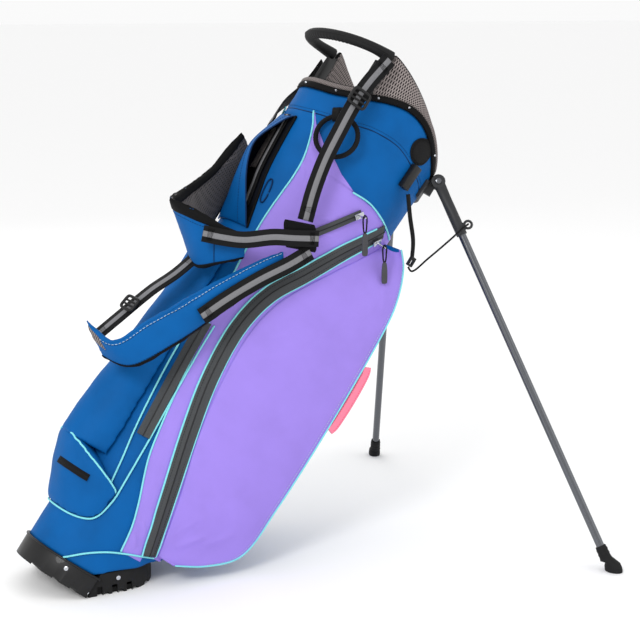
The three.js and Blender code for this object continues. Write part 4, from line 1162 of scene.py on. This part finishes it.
def edge_lines(middle, facing, share_of_width, at_top=True):
    """Guide lines from the outer face, over the pad's top or bottom edge, to the inner face."""
    columns = middle.shape[1] - 1
    depth = [int(round(columns * share_of_width * k / 4)) for k in (4, 3, 2, 1)]
    places = [d if at_top else columns - d for d in depth]
    rows = slice(1, -1, 2)
    over = [middle[rows, p] + facing[rows, p] * PAD_CLEAR for p in places]
    edge_place = 0 if at_top else columns
    inward = middle[rows, 1 if at_top else columns - 1] - middle[rows, edge_place]
    edge = [middle[rows, edge_place] - unit(inward) * 4]
    under = [middle[rows, p] - facing[rows, p] * PAD_CLEAR for p in places[::-1]]
    return over + edge + under


def surface_line(middle, facing, share):
    """Guide line along a pad's outer face at a share of its width."""
    column = int(round((middle.shape[1] - 1) * share))
    return middle[2:-2, column] + facing[2:-2, column] * PAD_CLEAR


def upper_pad():
    pad, middle, facing = shoulder_pad("shoulder_pad_upper_cloth", UPPER_PAD, "shoulder_pad_upper", 71)
    wrap_band("upper_pad_top_binding", pad, edge_lines(middle, facing, 0.18), lift=1.3)
    wrap_band("upper_pad_low_binding", pad, edge_lines(middle, facing, 0.09, False), lift=1.2)
    inset = [on_surface(surface_line(middle, facing, s), pad, 0.3) for s in (0.215, 0.9)]
    stitches("upper_pad_stitching", inset, "thread")
    lines = [middle[row, 6:-2] + facing[row, 6:-2] * PAD_CLEAR for row in (62, 102)]
    seams = [on_surface(line, pad, 0.2) for line in lines]
    pipings("upper_pad_seams", seams, look="thread", radius=0.7)
    row = 66
    tag_line = on_surface(middle[row, 12:16] + facing[row, 12:16] * PAD_CLEAR, pad, 0.9)
    webbing("upper_pad_tag", smooth(tag_line, 8), facing[row, 14], 9, 0.6, striped=False, look="tag")


def lower_pad():
    pad, middle, facing = shoulder_pad("shoulder_pad_lower_cloth", LOWER_PAD, "shoulder_pad_lower", 81)
    wrap_band("lower_pad_low_binding", pad, edge_lines(middle, facing, 0.12, False), lift=1.2)
    wrap_band("lower_pad_top_binding", pad, edge_lines(middle, facing, 0.04), look="blue")
    bright = [on_surface(surface_line(middle, facing, 0.1), pad, 0.35)]
    stitches("lower_pad_bright_stitching", bright, "pale_thread", 3.4, 2.6, 0.45)
    dark = [on_surface(surface_line(middle, facing, s), pad, 0.3) for s in (0.14, 0.86)]
    stitches("lower_pad_stitching", dark, "thread")
    cap = [middle[k, 1:17] + facing[k, 1:17] * PAD_CLEAR for k in (2, 7, 12)]
    top = np.stack([on_surface(line, pad, 1.0) for line in cap], axis=1)
    below = np.stack([on_surface(line, pad, -0.8) for line in cap], axis=1)[:, ::-1]
    loft("lower_pad_mesh_end", np.concatenate([top, below], axis=1), ["mesh"])


OUTWARD_RIGHT = (-0.2, -1, 0)
STRAPS = {
    "strap_front": ([(-50, -113, 940), (-62, -118, 890), (-67, -122, 850), (-66, -125, 800), (-62, -126, 750),
                     (-52, -127, 700), (-38, -128, 655)], OUTWARD_RIGHT),
    "strap_upper": ([(-168, -118, 551), (-140, -127, 562), (-112, -134, 576), (-76, -141, 604),
                     (-48, -145.5, 620), (-12, -146.5, 641)], OUTWARD_RIGHT),
    "strap_lower": ([(-10, -142, 618), (-28, -142, 586), (-58, -140, 540), (-88, -140, 488),
                     (-108, -138, 445)], OUTWARD_RIGHT),
    "strap_back": ([(-188, -30, 345), (-176, -36, 385), (-158, -46, 445), (-142, -53, 484), (-130, -57, 522)],
                   (-1, -0.4, 0.5)),
}
FAR_STRAP = [(928, 126), (895, 128), (863, 133), (830, 145), (802, 158), (780, 166)]


def bartack(route, facing, at):
    """A zigzag of stitches across a strap."""
    run = run_along(route)
    middle = place_at(run, route, at * run[-1])
    ahead = place_at(run, route, at * run[-1] + 1)
    along = unit(ahead - middle)
    out = unit(np.asarray(facing, float) - np.dot(facing, along) * along)
    across = np.cross(along, out)
    base = middle + out * (STRAP_THICK / 2 + 0.5)
    reach = STRAP_WIDTH * 0.38
    return np.array([base + across * reach * (1 if k % 2 else -1) + along * (k - 3) * 4 / 3
                     for k in range(7)])


def straps():
    for name, (points, facing) in STRAPS.items():
        route = smooth(points, 90)
        webbing(name + "_webbing", route, facing, replaces=[name])
        tacks = [bartack(route, np.array(facing, float), at) for at in (0.06, 0.94)]
        pipings(name + "_bartacks", tacks, look="black_thread", radius=0.45, sides=5)
    line = smooth(FAR_STRAP, 60)
    angle = rad(line[:, 1])
    webbing("strap_far_webbing", on_tube(line[:, 0], angle, 11), outward(angle), replaces=["strap_far"])


def yoke_place(u, v, y):
    return points_of(-50 + 52 * u - 26 * v, y, 602 + 21 * u + 34 * v)


BUCKLE_RADIUS = 2.4


def buckle(name, centre, facing, width, height, node):
    """Moulded frame with two bars across its middle for the strap to double over."""
    centre = np.array(centre)
    out = unit(np.array(facing, float))
    across = unit(np.cross(out, [0, 0, 1]))
    up = np.cross(across, out)
    turn = full_turn(90)[:, None]
    half_wide, half_high = width / 2 - BUCKLE_RADIUS, height / 2 - BUCKLE_RADIUS
    sideways, upwards = across * half_wide, up * half_high
    frame_line = centre + sideways * squared(np.cos(turn), 0.35) + upwards * squared(np.sin(turn), 0.35)
    frame_line = smooth(np.vstack([frame_line, frame_line[:1]]), 140)
    bars = [ring_solid(round_section(frame_line, BUCKLE_RADIUS, 12))]
    for level in (-0.12, 0.12):
        ends = centre + up * height * level + sideways * np.linspace(-1, 1, 12)[:, None]
        bars.append(ring_solid(round_section(ends, 1.7, 10)))
    bundle(name, bars, ["plastic"], replaces=[node])


def strap_yoke():
    """Sewn patch behind the straps where they meet, with a stitched border."""
    u = np.linspace(0, 1, 34)[:, None]
    v = np.linspace(0, 1, 44)[None, :]
    rounded = 1 - 0.12 * np.abs(2 * v - 1) ** 6
    across = 0.5 + (u - 0.5) * rounded
    puff = 1.8 * (np.sin(math.pi * u) * np.sin(math.pi * v)) ** 0.4
    crease = 0.7 * np.sin(u * 9 + 2.0 * v) * np.sin(math.pi * u) * np.sin(math.pi * v)
    front = yoke_place(across, v, -139.4 - puff - crease)
    slab("yoke_patch", front, yoke_place(across, v, -137.0), ["binding"], replaces=["strap_yoke"])
    turn = np.linspace(0, 2 * math.pi, 80)
    square = np.maximum(np.abs(np.cos(turn)), np.abs(np.sin(turn)))
    border = yoke_place(0.5 + 0.4 * np.cos(turn) / square, 0.5 + 0.43 * np.sin(turn) / square, -141.6)
    stitches("yoke_stitching", [border], "black_thread", 2.4, 1.8, 0.35)


# ---------------------------------------------------------------- towel ring and small fittings
RING_RADIUS, RING_THICK, RING_ANGLE = 33, 4, math.radians(-134)
DOWN = np.array([math.sin(LEAN), 0, -math.cos(LEAN)])


def ring_axes():
    out = outward(RING_ANGLE)
    down = unit(DOWN - np.dot(DOWN, out) * out)
    top = on_tube(826, RING_ANGLE, 11)
    return top, out, -down, np.cross(-down, out)


def towel_ring():
    """Rubber-covered ring with the coarse wrap of its cover."""
    top, out, up, side = ring_axes()
    centre = top - up * RING_RADIUS
    turns, sides = 260, 16
    turn = full_turn(turns)[:, None]
    radial = side * np.cos(turn) + up * np.sin(turn)
    twist = np.abs(np.sin(turn * 26 + full_turn(sides))) ** 0.5
    outwards = np.broadcast_to(out, radial.shape)
    thick = RING_THICK - 0.55 + 0.6 * twist
    rings = rings_round(centre + radial * RING_RADIUS, radial, outwards, thick, sides)
    hoop("towel_ring_cover", rings, ["cord"], body="towel_ring", slot="black_rubber", replaces=["towel_ring"])


def ring_keeper():
    """Webbing tab that holds the ring against the cuff."""
    top, out, up, _ = ring_axes()
    wall = on_tube(826, RING_ANGLE, 1.5)
    arc = [wall + up * 17 + out * 0.5, top + up * 11 + out * 3.5, top + up * 1 + out * 6.2,
           top - up * 6.2 + out * 2, top - up * 6.0 - out * 5.0]
    route = smooth(arc, 30)
    facing = np.cross(unit(np.gradient(route, axis=0)), np.cross(up, out))
    if facing[12].dot(out) < 0:
        facing = -facing
    webbing("towel_ring_keeper", route, facing, 18, 1.8, striped=False, replaces=["towel_ring_tab"])


PATCH_Z, PATCH_HALF = 860, 22
PATCH_ANGLE, PATCH_HALF_ANGLE = math.radians(-68), math.radians(11)


def cuff_patch():
    """Oval woven patch sewn below the rim."""
    u = np.linspace(-1, 1, 36)[:, None]
    v = np.linspace(-1, 1, 36)[None, :]
    across = u * np.sqrt(1 - v * v / 2)
    high = v * np.sqrt(1 - u * u / 2)
    reach = np.sqrt(across ** 2 + high ** 2)
    angle, z = PATCH_ANGLE + PATCH_HALF_ANGLE * across, PATCH_Z + PATCH_HALF * high
    rise = 3.0 - 1.0 * ease(reach, 0.7, 1.0) + 0.25 * np.sin(high * 40)
    slab("cuff_oval", on_tube(z, angle, rise), on_tube(z, angle, 0.9), ["webbing"], replaces=["cuff_patch"])
    turn = np.linspace(0, 2 * math.pi, 60)
    border = on_tube(PATCH_Z + 19 * np.sin(turn), PATCH_ANGLE + math.radians(9.5) * np.cos(turn), 3.3)
    stitches("cuff_oval_stitching", [border], "black_thread", radius=0.45)


GRAB_BAR = [(200.5, 524), (204, 517), (206, 502), (207, 468), (206, 434), (204, 415), (200.5, 407)]


GRAB_HALF = 7.2


def grab_handle():
    """Stiffened webbing bar, padded along its middle and sewn to the pocket's edge at both ends."""
    _, outward_leg = leg_line(RIGHT)
    route = smooth([(x, -113, z) for x, z in GRAB_BAR], 110)
    facing = np.broadcast_to(outward_leg, route.shape)
    share = np.linspace(0, 1, len(route))
    swollen = 4.0 + 0.9 * ease(share, 0.12, 0.25) * (1 - ease(share, 0.75, 0.88))
    tangent = unit(np.gradient(route, axis=0))
    out = unit(facing - np.sum(facing * tangent, axis=-1, keepdims=True) * tangent)
    across = np.cross(tangent, out)
    turn = full_turn(28)[:, None]
    half = swollen[:, None] / 2
    rings = route[:, None] + across[:, None] * GRAB_HALF * squared(np.cos(turn), 0.6) \
        + (out * half)[:, None] * squared(np.sin(turn), 0.5)
    loft("grab_webbing", rings, ["pink"], replaces=["grab_handle"])
    rows = [(route + across * 4.9 * aside + out * (half + 0.1))[4:-4] for aside in (-1, 1)]
    stitches("grab_stitching", rows, "pink_thread", radius=0.4)


# ---------------------------------------------------------------- legs
ARM_LENGTH, ARM_SOCKET, LEG_RADIUS = 96, 60, 6.5
LEG_PIVOT = (164, 70, 847)
LEG_REACH, LEG_SPREAD = 767.5, 370


def leg_line(side):
    """The leg's frame in the bag frame: points from the pivot up the leg, and its outward direction."""
    pivot = np.array([LEG_PIVOT[0], side * LEG_PIVOT[1], LEG_PIVOT[2]], float)
    to_bag = np.array(BAG.inverted() @ FLOOR)
    ground = to_bag[:3, :3] @ np.array([LEG_REACH, side * LEG_SPREAD, 0]) + to_bag[:3, 3]
    up = unit(pivot - ground)
    hinge = unit(np.cross(up, [0, 0, 1]))
    outward_leg = hinge if hinge[1] * side > 0 else -hinge
    return (pivot, ground, up), outward_leg


def leg_tube(side, word):
    (pivot, ground, up), _ = leg_line(side)
    length = np.linalg.norm(pivot - ground)
    reach = np.concatenate([[ARM_SOCKET + 1, ARM_LENGTH, ARM_LENGTH + 0.6], np.linspace(110, length - 40, 8),
                            [length - 23]])
    route = pivot - up * reach[:, None]
    _, side_up, across = frames_along(route, (0, 1, 0))
    rings = rings_round(route, side_up, across, LEG_RADIUS - 0.02, 40)
    loft(f"leg_shaft_{word}", rings, ["gunmetal"], body=f"leg_{word}", replaces=[f"leg_tube_{word}"])


# The boot's rings: height, half length, half width and how far forward; then the sleeve's reach and radius.
BOOT = ((0.0, 13.6, 9.8, 4), (0.6, 14.6, 10.7, 4), (2.0, 15, 11, 4), (5.0, 15, 11, 3.6), (8.0, 14.7, 10.9, 3),
        (11.0, 13.6, 10.6, 2.4), (14.0, 12.2, 10.2, 2))
SLEEVE = ((20, 10.0), (24, 9.2), (27, 9.0), (28, 9.5), (30, 9.5), (31, 8.9), (34, 8.9), (35, 9.3), (37, 9.3),
          (38, 8.7), (41.4, 8.5), (42.4, 8.0), (42.4, 6.9))


def leg_foot(side, word):
    """Moulded rubber boot: ribbed sleeve, rounded heel and a longer toe, flat underneath."""
    (_, _, up), _ = leg_line(side)
    to_bag = np.array(BAG.inverted() @ FLOOR)

    def from_floor(p):
        return p @ to_bag[:3, :3].T + to_bag[:3, 3]

    away = unit(np.array([LEG_REACH - 626, side * LEG_SPREAD, 0.0]))
    across = np.array([-away[1], away[0], 0])
    turn = full_turn(48)
    to_floor = np.linalg.inv(to_bag)
    up_floor = unit(to_floor[:3, :3] @ up)
    centre = np.array([LEG_REACH, side * LEG_SPREAD, 0.0])
    rings = []
    for height, long, wide, forward in BOOT:
        ring = centre + points_of(0, 0, height) + away * (forward + long * np.cos(turn))[:, None] \
            + across * (wide * np.sin(turn))[:, None]
        rings.append(from_floor(ring))
    side_a = unit(away - np.dot(away, up_floor) * up_floor)
    side_b = np.cross(up_floor, side_a)
    for reach, radius in SLEEVE:
        ring = centre + up_floor * reach + side_a * (radius * np.cos(turn))[:, None] \
            + np.sign(np.dot(side_b, across)) * side_b * (radius * np.sin(turn))[:, None]
        rings.append(from_floor(ring))
    loft(f"leg_boot_{word}", np.stack(rings), ["rubber"], body=f"leg_{word}", replaces=[f"leg_foot_{word}"])


def leg_strap():
    route = smooth([(104, -110, 790), (126, -114, 762), (152, -117, 733), (167, -118, 708)], 60)
    webbing("leg_strap_webbing", route, (0.35, -1, 0), 8, 2.2, striped=False, replaces=["leg_strap"])


HOOK = np.array([168, -118, 705.0])
CORD_RADIUS = 1.6


def leg_cord():
    """Elastic cord from the strap's hook to the eyelet on the right arm."""
    (pivot, _, up), outward_leg = leg_line(RIGHT)
    across = np.cross(up, outward_leg)
    eyelet = pivot + across * 16 - up * (ARM_LENGTH - 12)
    end = eyelet + outward_leg * 5
    points = [HOOK + [0, 0, -11], HOOK + [8, -3, -14], (190, -123, 725), (208, -125, 775),
              end + [-7, -4, -10], end]
    route = smooth(points, 60)
    _, side_up, side = frames_along(route)
    rings = rings_round(route, side_up, side, CORD_RADIUS, 12)
    cord = loft("leg_elastic", rings, ["cord"], body=None, replaces=["leg_cord"])
    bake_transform(cord)


# ---------------------------------------------------------------- base
GUSSET_LEVEL, GUSSET_START_X = 41.4, 20


def base_band():
    """Raised lip where the moulded base meets the cloth at the back, and its welt."""
    turns = 160
    edge = np.linspace(math.radians(100), math.radians(260), turns)
    lip = [(SHELL_HEM - 3.2, 3.1), (SHELL_HEM - 2.6, 4.6), (SHELL_HEM - 0.6, 4.8), (SHELL_HEM + 0.2, 3.6),
           (SHELL_HEM + 0.2, 0.8), (SHELL_HEM - 3.2, 0.8)]
    rings = np.stack([on_tube(np.full(turns, z), edge, lift) for z, lift in lip], axis=1)
    loft("base_lip", rings, ["plastic"])


def gusset_cloth():
    """Cloth floor of the wedge above the foot, slack between its seams."""
    level = GUSSET_LEVEL + 0.4
    reach = np.linspace(GUSSET_START_X, 320, 3000)

    def place(x_floor):
        x = x_floor * math.cos(LEAN) - level * math.sin(LEAN)
        z = x_floor * math.sin(LEAN) + level * math.cos(LEAN)
        centre, across, deep = section(z)
        return x, z, (x - centre) / (across - FABRIC - 1), deep - FABRIC - 1

    end = reach[place(reach)[2] < 1].max()
    x_floor = GUSSET_START_X + (end - GUSSET_START_X) * np.sin(np.linspace(0, math.pi / 2, 70)) * 0.9995
    x, z, share, deep = place(x_floor)
    half = deep * np.sqrt(1 - share ** 2)
    middle = points_of(x[:, None], half[:, None] * np.linspace(-1, 1, 50)[None, :], z[:, None])
    up = np.array([-math.sin(LEAN), 0, math.cos(LEAN)])
    slack = 0.8 * ripple(middle, 45, 95)[..., None]
    slab("gusset_floor", middle + up * (0.7 + slack), middle + up * (2.4 + slack * 0.4), ["blue"],
         replaces=["bottom_gusset"])


# ---------------------------------------------------------------- zips' pulls
def pull_axes(joint):
    """Hinge point of a pull in the bag frame, its way down, and its way out from the bag."""
    hook = in_bag_frame(JOINTS[joint]["pos_m"])
    side = np.array([0, RIGHT, 0.0])
    return hook, DOWN, side, np.cross(-DOWN, side)


# Share of the pull's length, half width and half thickness along its grip.
PULL_GRIP = np.array([(0.40, 1.6, 1.3), (0.41, 2.6, 1.8), (0.44, 3.4, 2.1), (0.50, 4.2, 2.2),
                      (0.62, 4.8, 2.3), (0.80, 5.0, 2.4), (0.93, 4.9, 2.3), (0.975, 4.3, 2.0),
                      (0.995, 3.0, 1.5), (1.0, 1.2, 0.8)])


def zip_pull(name, length):
    """A knotted cord loop through the slider, with a moulded grip on its end."""
    hook, down, out, aside = pull_axes(name.replace("zip_pull_", "zip_") + "_pull_swing")
    loop = [(-0.2, -0.44), (-2.2, -0.34), (-3.1, -0.18), (-3.0, 0.0), (0, 0.062), (3.0, 0.0), (3.1, -0.18),
            (2.2, -0.34), (0.2, -0.44)]
    route = smooth([hook + aside * a - down * b * length for a, b in loop], 90)
    twist = 1.25 + 0.14 * np.sin(np.arange(90) * 1.9)
    loft(name + "_cord", round_section(route, twist, 10), ["cord"], body=name)
    share = np.linspace(0.40, 1.0, 70)
    wide, thick = (np.interp(share, PULL_GRIP[:, 0], PULL_GRIP[:, k]) for k in (1, 2))
    grooves = 0.28 * (np.sin((share - 0.5) * length * 1.7) > 0.2) * ((share > 0.5) & (share < 0.88))
    turn = full_turn(28)[:, None]
    rings = (hook + down * (share * length)[:, None])[:, None] \
        + aside * wide[:, None, None] * squared(np.cos(turn), 0.6) \
        + out * (thick - grooves)[:, None, None] * squared(np.sin(turn), 0.6)
    loft(name + "_grip", rings, ["grip"], body=name, slot="grey_plastic", replaces=[name])


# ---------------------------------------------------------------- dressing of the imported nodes
DRESSED = (                                          # look, edge in mm, slot, nodes
    ("plastic", 0.8, "black_plastic", "base_shell club_divider"),
    ("plastic", 1.0, "black_plastic", "leg_strap_lock"),
    ("plastic", 0.6, "black_plastic", "leg_strap_hook"),
    ("rubber", 0.8, "black_rubber", "base_foot"),
    ("grey_plastic", 0, "grey_plastic", "frame_stay_right frame_stay_left"),
    ("grey_plastic", 0.8, "grey_plastic", "leg_bracket"),
    ("grey_plastic", 0.6, "grey_plastic", "leg_arm_right leg_arm_left"),
    ("gunmetal", 0.4, "steel", "leg_bolt_right leg_bolt_left"),
    ("steel", 0, "steel", "actuator_rod"),
    ("steel", 0.3, "steel", "foot_hinge_pin"),
    ("steel", 0.4, "steel", "shell_rivet_right shell_rivet_left foot_rivet_right foot_rivet_left"),
    ("steel", 0.7, "steel", "zip_slider_main zip_slider_upper"),
)


# ---------------------------------------------------------------- floor, lights and camera
FLOOR_HALF = 60


def floor():
    mesh = bpy.data.meshes.new("studio_floor")
    corners = [(x * FLOOR_HALF, y * FLOOR_HALF, 0) for x, y in ((-1, -1), (1, -1), (1, 1), (-1, 1))]
    mesh.from_pydata(corners, [], [(0, 1, 2, 3)])
    ground = bpy.data.objects.new("studio_floor", mesh)
    look = Look("pale_floor", 0.9)
    look.shader.inputs["Base Color"].default_value = (0.97, 0.97, 0.97, 1)
    mesh.materials.append(look.material)
    bpy.context.scene.collection.objects.link(ground)


def area_light(name, place, target, size, watts):
    data = bpy.data.lights.new(name, "AREA")
    data.shape, data.size, data.energy = "DISK", size, watts
    light = bpy.data.objects.new(name, data)
    light.location = place
    light.rotation_euler = (Vector(target) - Vector(place)).to_track_quat("-Z", "Y").to_euler()
    bpy.context.scene.collection.objects.link(light)


def studio():
    scene = bpy.context.scene
    world = bpy.data.worlds.new("studio")
    world.use_nodes = True
    world.node_tree.nodes["Background"].inputs["Color"].default_value = (1, 1, 1, 1)
    world.node_tree.nodes["Background"].inputs["Strength"].default_value = 0.96
    scene.world = world
    scene.view_settings.view_transform = "Standard"
    middle = (0.25, 0, 0.4)
    area_light("key", (-2.4, -2.2, 2.6), middle, 1.2, 62)
    area_light("fill", (2.6, -2.4, 1.6), middle, 2.2, 8)
    area_light("back", (0.8, 2.8, 2.2), middle, 1.8, 12)


CAMERA_TARGET = (0.3782, 0.0, 0.3853)
CAMERA_AZIMUTH, CAMERA_ELEVATION, CAMERA_DISTANCE = math.radians(-28.4), math.radians(11.0), 2.6
CAMERA_LENS = 89.2


def camera():
    data = bpy.data.cameras.new("camera")
    data.lens, data.sensor_width = CAMERA_LENS, 36
    made = bpy.data.objects.new("camera", data)
    level = math.cos(CAMERA_ELEVATION)
    back = Vector((math.sin(CAMERA_AZIMUTH) * level, -math.cos(CAMERA_AZIMUTH) * level,
                   math.sin(CAMERA_ELEVATION)))
    made.location = Vector(CAMERA_TARGET) + back * CAMERA_DISTANCE
    made.rotation_euler = (-back).to_track_quat("-Z", "Y").to_euler()
    bpy.context.scene.collection.objects.link(made)
    bpy.context.scene.camera = made


camera()
leg_cord()
tube_cloth()
side_panel()
panel_margin()
zip_tape("zip_main", ZIP_MAIN, ZIP_HALF, "zip_tape_main")
zip_tape("zip_upper", ZIP_UPPER, 6.5, "zip_tape_upper", lift=4.2, plain=True)
zip_tape("zip_spine", ZIP_SPINE, 11, "zip_tape_spine", plain=True)
side_pocket(RIGHT, "right", "purple")
side_pocket(LEFT, "left", "blue")
side_pipings()
left_details()
ball_pocket()
spine_pocket()
pocket_flap()
buttonhole()
cuff_seam()
cuff_binding()
collar()
carry_handle()
for post_side, post_word in SIDES:
    handle_post(post_side, post_word)
cuff_patch()
upper_pad()
lower_pad()
straps()
buckle("strap_ladder_lock", (-67, -127.5, 858), OUTWARD_RIGHT, 34, 30, "ladder_lock")
buckle("strap_slide_buckle", (-175.4, -41.7, 410.5), (-1, -0.4, 0.2), 30, 26, "strap_slider")
strap_yoke()
towel_ring()
ring_keeper()
grab_handle()
leg_strap()
for leg_side, leg_word in SIDES:
    leg_tube(leg_side, leg_word)
    leg_foot(leg_side, leg_word)
base_band()
gusset_cloth()
zip_pull("zip_pull_main", 58)
zip_pull("zip_pull_upper", 60)
for look_name, edge_size, slot_name, nodes in DRESSED:
    for node_name in nodes.split():
        dress(node_name, look_name, edge_size)
floor()
studio()
